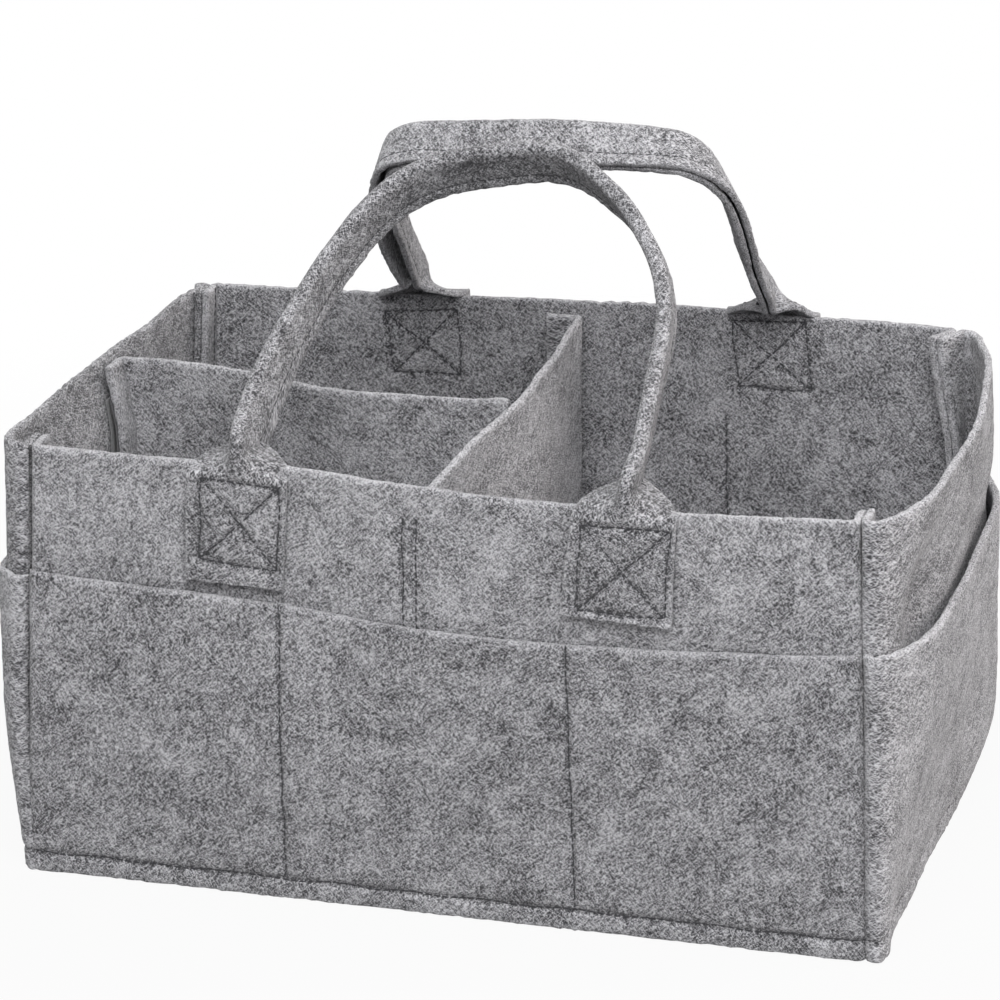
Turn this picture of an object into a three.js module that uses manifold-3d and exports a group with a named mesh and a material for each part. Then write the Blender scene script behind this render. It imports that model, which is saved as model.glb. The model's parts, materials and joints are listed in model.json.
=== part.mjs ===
// Felt caddy: four walls, pockets all round, two carrying handles and two lift-out dividers.
// Millimetres, +Z up, +X along the length, +Y to the back. The origin is under the middle of the base.
import * as THREE from 'three';
import { mergeVertices } from 'three/addons/utils/BufferGeometryUtils.js';
import Module from 'manifold-3d';

// Sheet goods
const felt = 3; // thickness of every felt panel
const creaseRadius = 0.3; // inside radius of a pressed fold
const seat = 0.3; // gap between pieces that touch
const tapeThickness = 1.2; // hook tape and loop tape
const tapeWidth = 10;
const threadWidth = 1;
const threadHeight = 0.5; // how far a stitched line stands off the felt

// Walls, measured at their outer faces
const wallHeight = 180;
const bodyDepth = 222;
const baseSeamSpan = 343; // corner seam to corner seam at the bottom edge
const rimSeamSpan = 327; // and at the rim, where the corners draw in
const baseEndRoom = 0.6; // space from an end wall to its own seam flap at the bottom edge
const rimEndRoom = 12.5; // and at the rim, where the end walls bow out
const baseCornerDepth = 12; // length of the round corner along the end wall at the bottom edge
const rimCornerDepth = 55; // and at the rim
const seamAllowance = 15; // flap turned inside at each corner seam

// Raised floor with a turned-down edge
const floorTop = 9;
const floorCornerRadius = 10;

// Pockets
const pocketHeight = 124; // front and ends
const backPocketHeight = 139;
const firstSplit = -63; // the two partition seams of a long pocket panel
const secondSplit = 51;
const longPocketPuff = 6; // slack of a long pocket at its mouth
const endPocketPuff = 8;

// Handle straps, folded in half lengthwise and opened flat at their ends
const strapWidth = 40; // width of the strip before folding
const strapFoldGap = 2; // space inside the fold
const tabSpacing = 153; // centre to centre of the two tabs of a handle
const frontTabDrop = 49; // how far a tab reaches below the rim
const backTabDrop = 38;
const flatRun = 7; // stretch left flat past the hinge line
const foldRun = 12; // stretch over which the strip folds in half
const strapSeamInset = 5; // stitched line from the open edges
const frontHandleShift = -3.5; // handle centre from the middle of its wall
const frontHandleLean = 48.5; // degrees inward from upright, as far as it goes
const frontHandleHeight = 152; // from the hinge line to the top of the arch
const frontHandleSway = 7; // how far the top of the arch stands to the right of its tabs
const frontHandleSquareness = 2.5; // exponent: 2 is an ellipse, more is boxier
const backHandleShift = 8.5;
const backHandleLean = 37.5; // degrees
const backHandleHeight = 128;
const backHandleSway = -5;
const backHandleSquareness = 5; // exponent

// Crossed box of stitches on each tab
const boxStitchWidth = 32;
const frontBoxStitchHeight = 35;
const backBoxStitchHeight = 29;
const boxStitchInset = 5; // from the bottom edge of the tab

// Dividers
const crossDividerX = -2;
const longDividerY = 0;
const dividerFlap = 16; // end flap turned along the wall
const dividerDrop = 3; // top edge below the rim
const tapeRimDrop = 16; // tape ends below the rim
const tapeFloorGap = 10; // and above the floor
const tapeStitchSpacing = 5.6; // the two lines that hold a tape on a wall

// Facets
const foldSteps = 4;
const cornerSteps = 8;
const puffSteps = 6;
const pocketLevelCount = 5;
const rimLevelCount = 2;
const foldRunSteps = 4;
const archSteps = 24;

// Values that follow from the sizes above
const frontFace = -bodyDepth / 2;
const bendRadius = felt + creaseRadius;
const wallSeat = felt + seat;
const tapeStack = 3 * seat + 2 * tapeThickness;
const dividerBottom = floorTop + seat;
const dividerTop = wallHeight - dividerDrop;
const tapeBottom = floorTop + tapeFloorGap;
const tapeTop = wallHeight - tapeRimDrop;
const flapMiddle = (bendRadius + dividerFlap) / 2;
const hingeHeight = wallHeight + 2 * seat;
const hingeDepth = frontFace - wallSeat - seat;

const wasm = await Module();
wasm.setup();

const feltGrey = new THREE.MeshStandardMaterial({ color: 0x8b8b8d, roughness: 0.95, metalness: 0 });
const threadGrey = new THREE.MeshStandardMaterial({ color: 0x3c3c40, roughness: 0.8, metalness: 0 });
const tapeGrey = new THREE.MeshStandardMaterial({ color: 0x6f6f73, roughness: 0.9, metalness: 0 });

const { lerp, degToRad } = THREE.MathUtils;
const point = (x, y, z) => new THREE.Vector3(x, y, z);
const fractions = (count) => Array.from({ length: count + 1 }, (unused, index) => index / count);

function piece(name, geometry, material) {
  const mesh = new THREE.Mesh(geometry, material);
  mesh.name = name;
  return mesh;
}

// A sheet of felt is a grid of rows. Each cell is a pair of points, one on either face of the sheet.
function sheetGeometry(rows, closed = false) {
  const columns = rows[0].length;
  const spans = closed ? columns : columns - 1;
  const last = rows.length - 1;
  const positions = rows.flat(2).flatMap((corner) => corner.toArray());
  const at = (row, column, face) => 2 * (row * columns + (column % columns)) + face;
  const quads = [];
  for (let row = 0; row < last; row += 1) {
    for (let column = 0; column < spans; column += 1) {
      const next = column + 1;
      quads.push([at(row, column, 0), at(row, next, 0), at(row + 1, next, 0), at(row + 1, column, 0)]);
      quads.push([at(row, column, 1), at(row + 1, column, 1), at(row + 1, next, 1), at(row, next, 1)]);
    }
    if (!closed) {
      quads.push([at(row, 0, 0), at(row + 1, 0, 0), at(row + 1, 0, 1), at(row, 0, 1)]);
      quads.push([at(row, spans, 0), at(row, spans, 1), at(row + 1, spans, 1), at(row + 1, spans, 0)]);
    }
  }
  for (let column = 0; column < spans; column += 1) {
    const next = column + 1;
    quads.push([at(0, column, 0), at(0, column, 1), at(0, next, 1), at(0, next, 0)]);
    quads.push([at(last, column, 0), at(last, next, 0), at(last, next, 1), at(last, column, 1)]);
  }
  const triangles = quads.flatMap(([a, b, c, d]) => [[a, b, c], [a, c, d]]);
  const corner = (index) => new THREE.Vector3().fromArray(positions, 3 * index);
  const volume = triangles.reduce(
    (sum, [a, b, c]) => sum + corner(a).dot(corner(b).cross(corner(c))),
    0,
  );
  const outward = volume < 0 ? triangles.map(([a, b, c]) => [a, c, b]) : triangles;
  const geometry = new THREE.BufferGeometry();
  geometry.setAttribute('position', new THREE.Float32BufferAttribute(positions, 3));
  geometry.setIndex(outward.flat());
  geometry.computeVertexNormals();
  return geometry;
}

// Joins and cuts
function toSolid(geometry) {
  const bare = geometry.clone();
  bare.deleteAttribute('normal');
  bare.deleteAttribute('uv');
  const merged = mergeVertices(bare);
  const vertProperties = new Float32Array(merged.attributes.position.array);
  const triVerts = new Uint32Array(merged.index.array);
  return new wasm.Manifold(new wasm.Mesh({ numProp: 3, vertProperties, triVerts }));
}

function toGeometry(solid) {
  const { vertProperties, triVerts } = solid.getMesh();
  const geometry = new THREE.BufferGeometry();
  geometry.setAttribute('position', new THREE.Float32BufferAttribute(vertProperties, 3));
  geometry.setIndex(Array.from(triVerts));
  geometry.computeVertexNormals();
  return geometry;
}

// How the body widens and rounds from the bottom edge to the rim
const risen = (base, rim, z) => lerp(base, rim, z / wallHeight);
const seamX = (z) => risen(baseSeamSpan, rimSeamSpan, z) / 2;
const endRoom = (z) => risen(baseEndRoom, rimEndRoom, z);
const cornerDepth = (z) => risen(baseCornerDepth, rimCornerDepth, z);
const endFoldX = (z) => seamX(z) + seat / 2 + bendRadius;
const endInnerX = (z) => endFoldX(z) + endRoom(z);

const levelsTo = (height) => [0, ...fractions(pocketLevelCount).map((f) => lerp(floorTop, height, f))];
const rimLevels = fractions(rimLevelCount).slice(1).map((f) => lerp(pocketHeight, wallHeight, f));
const wallLevels = [...levelsTo(pocketHeight), ...rimLevels];

// Share of a pocket's slack at a height: none along the bottom seam, all of it at the mouth
const mouthShare = (z, height) => Math.sqrt(Math.max(0, (z - floorTop) / (height - floorTop)));

// Pairs of points round a pressed quarter fold that turns left, from a starting direction
function foldPairs(centreX, centreY, startAngle) {
  return fractions(foldSteps).map((f) => {
    const angle = startAngle + (f * Math.PI) / 2;
    const onFold = (radius) => [centreX + radius * Math.cos(angle), centreY + radius * Math.sin(angle)];
    return [onFold(bendRadius), onFold(creaseRadius)];
  });
}

const mirrored = (pairs) => pairs.map((pair) => pair.map(([x, y]) => [x, -y])).reverse();
const atHeight = (pairs, z) => pairs.map((pair) => pair.map(([x, y]) => point(x, y, z)));

// A panel with both ends turned the same way: outer face on y = 0, flaps towards +Y
function channelPairs(leftX, rightX, flap) {
  return [
    [[leftX, flap], [leftX + felt, flap]],
    ...foldPairs(leftX + bendRadius, bendRadius, Math.PI),
    ...foldPairs(rightX - bendRadius, bendRadius, 1.5 * Math.PI),
    [[rightX, flap], [rightX - felt, flap]],
  ];
}

// Round front corner of an end wall, or of a layer over it, from the seam to the straight stretch
function cornerPairs(z, outerOffset, innerOffset, slack = 0) {
  const depth = cornerDepth(z);
  const reach = felt + endRoom(z) + slack;
  return fractions(cornerSteps).map((f) => {
    const angle = ((f - 1) * Math.PI) / 2;
    const onCurve = (offset) => [
      endFoldX(z) + (reach + offset) * Math.cos(angle),
      frontFace + depth + (depth + offset) * Math.sin(angle),
    ];
    return [onCurve(outerOffset), onCurve(innerOffset)];
  });
}

// Raised floor
function floorShape(growth) {
  const halfX = Math.min(endInnerX(0), endInnerX(floorTop)) - seat + growth;
  const halfY = bodyDepth / 2 - wallSeat + growth;
  const radius = floorCornerRadius + growth;
  const shape = new THREE.Shape();
  const corners = [[1, -1, -0.5], [1, 1, 0], [-1, 1, 0.5], [-1, -1, 1]];
  corners.forEach(([sideX, sideY, quarter]) => {
    const start = quarter * Math.PI;
    shape.absarc(sideX * (halfX - radius), sideY * (halfY - radius), radius, start, start + Math.PI / 2);
  });
  return shape;
}

function floorBlock(growth, bottom, top) {
  const options = { depth: top - bottom, bevelEnabled: false, curveSegments: foldSteps };
  return new THREE.ExtrudeGeometry(floorShape(growth), options).translate(0, 0, bottom);
}

function basePanel() {
  const block = toSolid(floorBlock(0, 0, floorTop));
  const hollow = toSolid(floorBlock(-felt, -felt, floorTop - felt));
  return toGeometry(block.subtract(hollow));
}

// The lower ends of the seam flaps stop at the floor
function clearOfFloor(geometry) {
  return toGeometry(toSolid(geometry).subtract(toSolid(floorBlock(seat, -felt, dividerBottom))));
}

// Walls
function longWall() {
  const rows = [0, wallHeight].map((z) => {
    const edge = seamX(z) - seat / 2;
    return atHeight(channelPairs(-edge, edge, seamAllowance), z);
  });
  return clearOfFloor(sheetGeometry(rows).translate(0, frontFace, 0));
}

function endWall() {
  const rows = wallLevels.map((z) => {
    const seam = seamX(z) + seat / 2;
    const flapEnd = frontFace + seamAllowance;
    const frontPairs = [
      [[seam, flapEnd], [seam + felt, flapEnd]],
      ...foldPairs(seam + bendRadius, frontFace + bendRadius, Math.PI).slice(0, -1),
      ...cornerPairs(z, 0, -felt),
    ];
    return atHeight([...frontPairs, ...mirrored(frontPairs)], z);
  });
  return clearOfFloor(sheetGeometry(rows));
}

// Pocket panels
function longPocket(height) {
  const rows = levelsTo(height).map((z) => {
    const edge = seamX(z) - seat / 2;
    const seams = [-edge, firstSplit, secondSplit, edge];
    const columns = seams.slice(1).flatMap((right, index) => {
      const steps = fractions(puffSteps).slice(index === 0 ? 0 : 1);
      return steps.map((f) => [lerp(seams[index], right, f), Math.sin(f * Math.PI)]);
    });
    return columns.map(([x, share]) => {
      const y = frontFace - seat - longPocketPuff * share * mouthShare(z, height);
      return [point(x, y - felt, z), point(x, y, z)];
    });
  });
  return sheetGeometry(rows);
}

function endPocket() {
  const rows = levelsTo(pocketHeight).map((z) => {
    const seam = seamX(z) + seat / 2;
    const frontPairs = [
      [[seam, frontFace - wallSeat], [seam, frontFace - seat]],
      ...cornerPairs(z, wallSeat, seat, endPocketPuff * mouthShare(z, pocketHeight)),
    ];
    return atHeight([...frontPairs, ...mirrored(frontPairs)], z);
  });
  return sheetGeometry(rows);
}

// Stitched lines
function splitStitch(splitX, height) {
  const bottom = floorTop + threadWidth;
  const top = height - threadWidth;
  const y = frontFace - wallSeat - seat - threadHeight / 2;
  const geometry = new THREE.BoxGeometry(threadWidth, threadHeight, top - bottom);
  return geometry.translate(splitX, y, (bottom + top) / 2);
}

function cornerStitch(side) {
  const y = frontFace + bendRadius + threadWidth;
  const rows = [dividerBottom + threadWidth, wallHeight - threadWidth].map((z) => {
    const face = seamX(z) - seat / 2 - wallSeat;
    return [y, y + threadWidth].map((depth) => [
      point(side * (face - threadHeight), depth, z),
      point(side * face, depth, z),
    ]);
  });
  return sheetGeometry(rows);
}

function baseStitch() {
  const offset = wallSeat + seat;
  const rows = [floorTop - 2 * threadWidth, floorTop - threadWidth].map((z) => {
    const frontPairs = cornerPairs(z, offset + threadHeight, offset);
    const rightPairs = [...frontPairs, ...mirrored(frontPairs)];
    const leftPairs = rightPairs.map((pair) => pair.map(([x, y]) => [-x, -y]));
    return atHeight([...rightPairs, ...leftPairs], z);
  });
  return sheetGeometry(rows, true);
}

function boxStitch(boxHeight) {
  const line = (length) => new THREE.BoxGeometry(length, threadHeight, threadWidth);
  const diagonal = Math.hypot(boxStitchWidth, boxHeight);
  const slope = Math.atan2(boxHeight, boxStitchWidth);
  const upright = new THREE.BoxGeometry(threadWidth, threadHeight, boxHeight + threadWidth);
  const strokes = [
    line(boxStitchWidth).translate(0, 0, boxHeight / 2),
    line(boxStitchWidth).translate(0, 0, -boxHeight / 2),
    upright.clone().translate(-boxStitchWidth / 2, 0, 0),
    upright.clone().translate(boxStitchWidth / 2, 0, 0),
    line(diagonal).rotateY(slope),
    line(diagonal).rotateY(-slope),
  ];
  return toGeometry(strokes.map(toSolid).reduce((joined, stroke) => joined.add(stroke)));
}

// Two lines joined along the top, over a tape that is sewn on the other face of the wall
function tapeStitch(pocketTop) {
  const height = tapeTop - pocketTop;
  const upright = new THREE.BoxGeometry(threadWidth, threadHeight, height);
  const crossbar = new THREE.BoxGeometry(tapeStitchSpacing, threadHeight, threadWidth);
  const strokes = [
    upright.clone().translate(-tapeStitchSpacing / 2, 0, 0),
    upright.clone().translate(tapeStitchSpacing / 2, 0, 0),
    crossbar.translate(0, 0, (height - threadWidth) / 2),
  ];
  return toGeometry(strokes.map(toSolid).reduce((joined, stroke) => joined.add(stroke)));
}

// Arch of a handle in its own plane: a superellipse on the two tabs, drawn from left to right
class HandleArch extends THREE.Curve {
  constructor(height, squareness, sway) {
    super();
    this.height = height;
    this.squareness = squareness;
    this.sway = sway;
  }

  getPoint(t, target = new THREE.Vector3()) {
    const angle = Math.PI * (1 - t);
    const share = (value, size) => Math.abs(value / size) ** this.squareness;
    const sum = share(Math.cos(angle), tabSpacing / 2) + share(Math.sin(angle), this.height);
    const radius = sum ** (-1 / this.squareness);
    const z = radius * Math.sin(angle);
    const shift = this.sway * THREE.MathUtils.smoothstep(z, 0, this.height);
    return target.set(radius * Math.cos(angle) + shift, 0, z);
  }
}

const creaseRun = ((felt + strapFoldGap) / 2) * (Math.PI / 2);
const strapSide = strapWidth / 2 - creaseRun;
const foldedAngle = Math.PI / 2 + Math.asin((strapFoldGap - seat) / 2 / strapSide);

// A point of the strap: along its arch, across the strip, and off the strip's middle towards its outside.
// The strip lies in y, which points into the caddy, and its crease is on the outside.
function strapPoint(arch, along, fold, across, lift) {
  const share = along / arch.getLength();
  const centre = arch.getPointAt(share);
  const tangent = arch.getTangentAt(share);
  const distance = Math.abs(across);
  const bent = Math.min(distance, creaseRun);
  const radius = creaseRun / Math.max(fold, Number.EPSILON ** 0.5);
  const angle = bent / radius;
  const straight = distance - bent;
  const reach = radius * Math.sin(angle) + straight * Math.cos(angle) + lift * Math.sin(angle);
  const depth = radius * (1 - Math.cos(angle)) + straight * Math.sin(angle) - lift * Math.cos(angle);
  const outward = point(-tangent.z, 0, tangent.x).multiplyScalar(Math.sign(across) * reach);
  return centre.add(outward).add(point(0, felt / 2 + depth, 0));
}

function strapFold(arch, along) {
  const fromEnd = Math.min(along, arch.getLength() - along);
  return foldedAngle * THREE.MathUtils.smoothstep(fromEnd, flatRun, flatRun + foldRun);
}

function strapGeometry(arch, lean) {
  const length = arch.getLength();
  const opened = flatRun + foldRun;
  const endStations = [0, ...fractions(foldRunSteps).map((f) => flatRun + f * foldRun)];
  const archStations = fractions(archSteps).slice(1, -1).map((f) => lerp(opened, length - opened, f));
  const farStations = endStations.map((along) => length - along).reverse();
  const stations = [...endStations, ...archStations, ...farStations];
  const columns = [-strapWidth / 2, -creaseRun, -creaseRun / 2, 0, creaseRun / 2, creaseRun, strapWidth / 2];
  // The ends are cut on a slant, level when the strap leans in, so that they clear the tabs and the rim
  const slant = felt * Math.tan(degToRad(lean));
  const rows = stations.map((along) => {
    const fold = strapFold(arch, along);
    const cut = (fromEnd) => slant * Math.max(0, 1 - fromEnd / opened);
    const innerAlong = along + cut(along) - cut(length - along);
    return columns.map((across) => [
      strapPoint(arch, along, fold, across, felt / 2),
      strapPoint(arch, innerAlong, fold, across, -felt / 2),
    ]);
  });
  return sheetGeometry(rows);
}

function strapStitch(arch) {
  const start = flatRun + foldRun;
  const end = arch.getLength() - start;
  const across = strapWidth / 2 - strapSeamInset;
  const rows = fractions(archSteps).map((f) => {
    const along = lerp(start, end, f);
    return [across - threadWidth / 2, across + threadWidth / 2].map((line) => [
      strapPoint(arch, along, foldedAngle, line, felt / 2 + seat + threadHeight),
      strapPoint(arch, along, foldedAngle, line, felt / 2 + seat),
    ]);
  });
  return sheetGeometry(rows);
}

// One handle with its two tabs, on the front wall. The names follow the finished caddy's left and right.
function handleSet(wall, sides, { shift, lean, height, sway, squareness, tabDrop, boxHeight }) {
  const set = new THREE.Group();
  const tabBottom = wallHeight - tabDrop;
  const arch = new HandleArch(height, squareness, sway);
  const handle = new THREE.Group();
  handle.position.set(shift, hingeDepth, hingeHeight);
  handle.rotation.x = -degToRad(lean);
  handle.add(piece(`${wall}_handle`, strapGeometry(arch, lean), feltGrey));
  handle.add(piece(`${wall}_handle_stitch`, strapStitch(arch), threadGrey));
  set.add(handle);
  sides.forEach((side, index) => {
    const x = shift + (index - 0.5) * tabSpacing;
    const top = hingeHeight - seat;
    const tab = piece(`${wall}_${side}_tab`, new THREE.BoxGeometry(strapWidth, felt, top - tabBottom), feltGrey);
    tab.position.set(x, frontFace - seat - felt / 2, (top + tabBottom) / 2);
    const stitch = piece(`${wall}_${side}_box_stitch`, boxStitch(boxHeight), threadGrey);
    stitch.position.set(
      x,
      frontFace - wallSeat - seat - threadHeight / 2,
      tabBottom + boxStitchInset + boxHeight / 2,
    );
    set.add(tab, stitch);
  });
  return set;
}

// One long side and the end to the right of it. The back half is the same set, turned round.
function halfBody(wall, end, sides, height) {
  const half = new THREE.Group();
  half.add(
    piece(`${wall}_wall`, longWall(), feltGrey),
    piece(`${end}_wall`, endWall(), feltGrey),
    piece(`${wall}_pocket`, longPocket(height), feltGrey),
    piece(`${end}_pocket`, endPocket(), feltGrey),
    piece(`${wall}_${sides[0]}_pocket_stitch`, splitStitch(firstSplit, height), threadGrey),
    piece(`${wall}_${sides[1]}_pocket_stitch`, splitStitch(secondSplit, height), threadGrey),
    piece(`${wall}_${sides[0]}_corner_stitch`, cornerStitch(-1), threadGrey),
    piece(`${wall}_${sides[1]}_corner_stitch`, cornerStitch(1), threadGrey),
  );
  return half;
}

// Tape on a leaning face: x follows the face, y is the middle of the tape
function tapeSheet(faceX, middleY) {
  const rows = [tapeBottom, tapeTop].map((z) => [-tapeWidth / 2, tapeWidth / 2].map((offset) => [
    point(faceX(z), middleY + offset, z),
    point(faceX(z) + tapeThickness, middleY + offset, z),
  ]));
  return sheetGeometry(rows);
}

function flatTape(middleX, faceY) {
  const geometry = new THREE.BoxGeometry(tapeWidth, tapeThickness, tapeTop - tapeBottom);
  return geometry.translate(middleX, faceY + tapeThickness / 2, (tapeBottom + tapeTop) / 2);
}

// Front-to-back divider, its flaps turned to the left
function crossDivider() {
  const set = new THREE.Group();
  const reach = bodyDepth / 2 - felt - tapeStack;
  const rows = [dividerBottom, dividerTop].map((z) => atHeight(channelPairs(-reach, reach, dividerFlap), z));
  const panel = piece('cross_divider', sheetGeometry(rows), feltGrey);
  panel.rotation.z = Math.PI / 2;
  panel.position.x = crossDividerX + felt / 2;
  const tapeX = crossDividerX + felt / 2 - flapMiddle;
  const loopY = bodyDepth / 2 - wallSeat - tapeThickness;
  const hookY = loopY - seat - tapeThickness;
  set.add(
    panel,
    piece('front_wall_loop_tape', flatTape(tapeX, -loopY - tapeThickness), tapeGrey),
    piece('cross_divider_front_hook_tape', flatTape(tapeX, -hookY - tapeThickness), tapeGrey),
    piece('cross_divider_back_hook_tape', flatTape(tapeX, hookY), tapeGrey),
    piece('back_wall_loop_tape', flatTape(tapeX, loopY), tapeGrey),
  );
  const stitchY = bodyDepth / 2 + seat + threadHeight / 2;
  [['front', -stitchY, pocketHeight], ['back', stitchY, backPocketHeight]].forEach(([wall, y, pocketTop]) => {
    const stitch = piece(`${wall}_wall_tape_stitch`, tapeStitch(pocketTop), threadGrey);
    stitch.position.set(tapeX, y, (tapeTop + pocketTop) / 2 + threadWidth);
    set.add(stitch);
  });
  return set;
}

// Divider along the left half, from the left wall to the cross divider, its flaps turned to the front
function longDivider() {
  const set = new THREE.Group();
  const rightX = crossDividerX - felt / 2 - tapeStack;
  const leftX = (z) => -endInnerX(z) + tapeStack;
  const rows = [dividerBottom, dividerTop].map((z) => {
    return atHeight(channelPairs(-rightX, -leftX(z), dividerFlap), z);
  });
  const panel = piece('long_divider', sheetGeometry(rows), feltGrey);
  panel.rotation.z = Math.PI;
  panel.position.y = longDividerY + felt / 2;
  const tapeY = longDividerY + felt / 2 - flapMiddle;
  const wallTape = (z) => -endInnerX(z) + seat;
  const leftHook = (z) => wallTape(z) + tapeThickness + seat;
  const crossTape = () => crossDividerX - felt / 2 - seat - tapeThickness;
  const rightHook = () => crossTape() - seat - tapeThickness;
  set.add(
    panel,
    piece('left_wall_loop_tape', tapeSheet(wallTape, tapeY), tapeGrey),
    piece('long_divider_left_hook_tape', tapeSheet(leftHook, tapeY), tapeGrey),
    piece('long_divider_right_hook_tape', tapeSheet(rightHook, tapeY), tapeGrey),
    piece('cross_divider_loop_tape', tapeSheet(crossTape, tapeY), tapeGrey),
  );
  return set;
}

const frontHandle = {
  shift: frontHandleShift,
  lean: frontHandleLean,
  height: frontHandleHeight,
  sway: frontHandleSway,
  squareness: frontHandleSquareness,
  tabDrop: frontTabDrop,
  boxHeight: frontBoxStitchHeight,
};
const backHandle = {
  shift: -backHandleShift,
  lean: backHandleLean,
  height: backHandleHeight,
  sway: -backHandleSway,
  squareness: backHandleSquareness,
  tabDrop: backTabDrop,
  boxHeight: backBoxStitchHeight,
};

const turnedBack = new THREE.Group();
turnedBack.rotation.z = Math.PI;
turnedBack.add(
  halfBody('back', 'left', ['right', 'left'], backPocketHeight),
  handleSet('back', ['right', 'left'], backHandle),
);

const caddy = new THREE.Group();
caddy.add(
  piece('base_panel', basePanel(), feltGrey),
  piece('base_stitch', baseStitch(), threadGrey),
  halfBody('front', 'right', ['left', 'right'], pocketHeight),
  handleSet('front', ['left', 'right'], frontHandle),
  turnedBack,
  crossDivider(),
  longDivider(),
);

export default caddy;
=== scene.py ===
import json
import math

import bmesh
import bpy
import numpy as np
from mathutils import Matrix, Vector
from mathutils.bvhtree import BVHTree


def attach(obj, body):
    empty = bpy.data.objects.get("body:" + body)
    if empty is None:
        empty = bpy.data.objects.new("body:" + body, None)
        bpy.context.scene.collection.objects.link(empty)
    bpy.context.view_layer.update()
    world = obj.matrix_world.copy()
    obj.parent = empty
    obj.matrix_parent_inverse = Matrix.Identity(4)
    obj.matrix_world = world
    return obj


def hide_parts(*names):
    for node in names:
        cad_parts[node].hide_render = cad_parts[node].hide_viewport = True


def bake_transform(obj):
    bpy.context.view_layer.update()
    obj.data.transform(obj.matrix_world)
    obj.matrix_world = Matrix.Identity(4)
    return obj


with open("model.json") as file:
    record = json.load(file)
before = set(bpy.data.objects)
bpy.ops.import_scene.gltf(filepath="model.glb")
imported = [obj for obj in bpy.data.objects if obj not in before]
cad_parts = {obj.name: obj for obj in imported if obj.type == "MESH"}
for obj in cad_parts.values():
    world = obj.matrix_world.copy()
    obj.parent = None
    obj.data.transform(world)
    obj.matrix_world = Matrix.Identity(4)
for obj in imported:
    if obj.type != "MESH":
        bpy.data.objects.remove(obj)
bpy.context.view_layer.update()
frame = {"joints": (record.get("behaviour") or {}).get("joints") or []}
mm = 0.001  # shapes are worked out in millimetres, meshes are in metres

# Camera, at the photograph's viewing angle
shot = {
    "place": (408.2, -1585.8, 740.2),
    "azimuth": 14.61,
    "elevation": 20.34,
    "roll": -0.15,
    "focalPixels": 4290,
    "framePixels": 1000,
}


def placeCamera():
    azimuth, elevation, roll = (math.radians(shot[key]) for key in ("azimuth", "elevation", "roll"))
    back = Vector((
        math.sin(azimuth) * math.cos(elevation),
        -math.cos(azimuth) * math.cos(elevation),
        math.sin(elevation),
    ))
    level = Vector((math.cos(azimuth), math.sin(azimuth), 0))
    upright = back.cross(level)
    right = level * math.cos(roll) + upright * math.sin(roll)
    up = upright * math.cos(roll) - level * math.sin(roll)
    lens = bpy.data.cameras.new("photoCamera")
    lens.sensor_fit = "HORIZONTAL"
    lens.sensor_width = 36
    lens.lens = lens.sensor_width * shot["focalPixels"] / shot["framePixels"]
    camera = bpy.data.objects.new("photoCamera", lens)
    camera.matrix_world = Matrix.Translation(Vector(shot["place"]) * mm) @ Matrix(
        (right, up, back)
    ).transposed().to_4x4()
    bpy.context.scene.collection.objects.link(camera)
    bpy.context.scene.camera = camera


placeCamera()
print("camera placed")


# Nodes: an expression on wires adds the Math nodes it needs
def addNode(tree, kind, settings=None, sockets=None):
    node = tree.nodes.new(kind)
    for key, value in (settings or {}).items():
        setattr(node, key, value)
    for key, value in (sockets or {}).items():
        if isinstance(value, Wire):
            tree.links.new(value.socket, node.inputs[key])
        else:
            node.inputs[key].default_value = value
    return node


class Wire:
    def __init__(self, node, output=0):
        self.socket = node.outputs[output]
        self.tree = node.id_data

    def maths(self, operation, first, second):
        return Wire(addNode(self.tree, "ShaderNodeMath", {"operation": operation}, {0: first, 1: second}))

    def __add__(self, other):
        return self.maths("ADD", self, other)

    def __radd__(self, other):
        return self.maths("ADD", other, self)

    def __sub__(self, other):
        return self.maths("SUBTRACT", self, other)

    def __rsub__(self, other):
        return self.maths("SUBTRACT", other, self)

    def __mul__(self, other):
        return self.maths("MULTIPLY", self, other)

    def __rmul__(self, other):
        return self.maths("MULTIPLY", other, self)

    def __abs__(self):
        return self.maths("ABSOLUTE", self, 0.0)

    def between(self, low, high):
        settings = {"interpolation_type": "SMOOTHSTEP"}
        return Wire(addNode(self.tree, "ShaderNodeMapRange", settings, {0: self, 1: low, 2: high}))


def newMaterial(name):
    material = bpy.data.materials.new(name)
    material.use_nodes = True
    tree = material.node_tree
    tree.nodes.clear()
    output = addNode(tree, "ShaderNodeOutputMaterial")
    return material, tree, output


def noise(tree, place, size, detail, roughness, stretch=None, turn=0.0):
    # value noise around 0.5 whose lumps are about size millimetres long
    if stretch:
        place = Wire(addNode(tree, "ShaderNodeMapping", {"vector_type": "TEXTURE"}, {
            "Vector": place, "Rotation": (0, 0, turn), "Scale": stretch}))
    sockets = {"Vector": place, "Scale": 1 / (mm * size), "Detail": detail, "Roughness": roughness}
    return Wire(addNode(tree, "ShaderNodeTexNoise", None, sockets))


def attribute(tree, name, output="Fac"):
    return Wire(addNode(tree, "ShaderNodeAttribute", {"attribute_name": name}), output)


def finishCloth(tree, output, look, tone, height):
    # tone mixes the dark and the light colour, height bumps the surface
    colour = addNode(tree, "ShaderNodeMix", {"data_type": "RGBA"}, {
        "Factor": tone, 6: look["dark"], 7: look["light"]})
    bump = addNode(tree, "ShaderNodeBump", None, {
        "Strength": look["bump"], "Distance": look["bumpDepth"] * mm, "Height": height})
    shader = addNode(tree, "ShaderNodeBsdfPrincipled", None, {
        "Base Color": Wire(colour, 2),
        "Roughness": look["roughness"],
        "Specular IOR Level": look["specular"],
        "Sheen Weight": look["sheen"],
        "Sheen Roughness": look["sheenRoughness"],
        "Normal": Wire(bump),
    })
    tree.links.new(shader.outputs[0], output.inputs[0])


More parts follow.
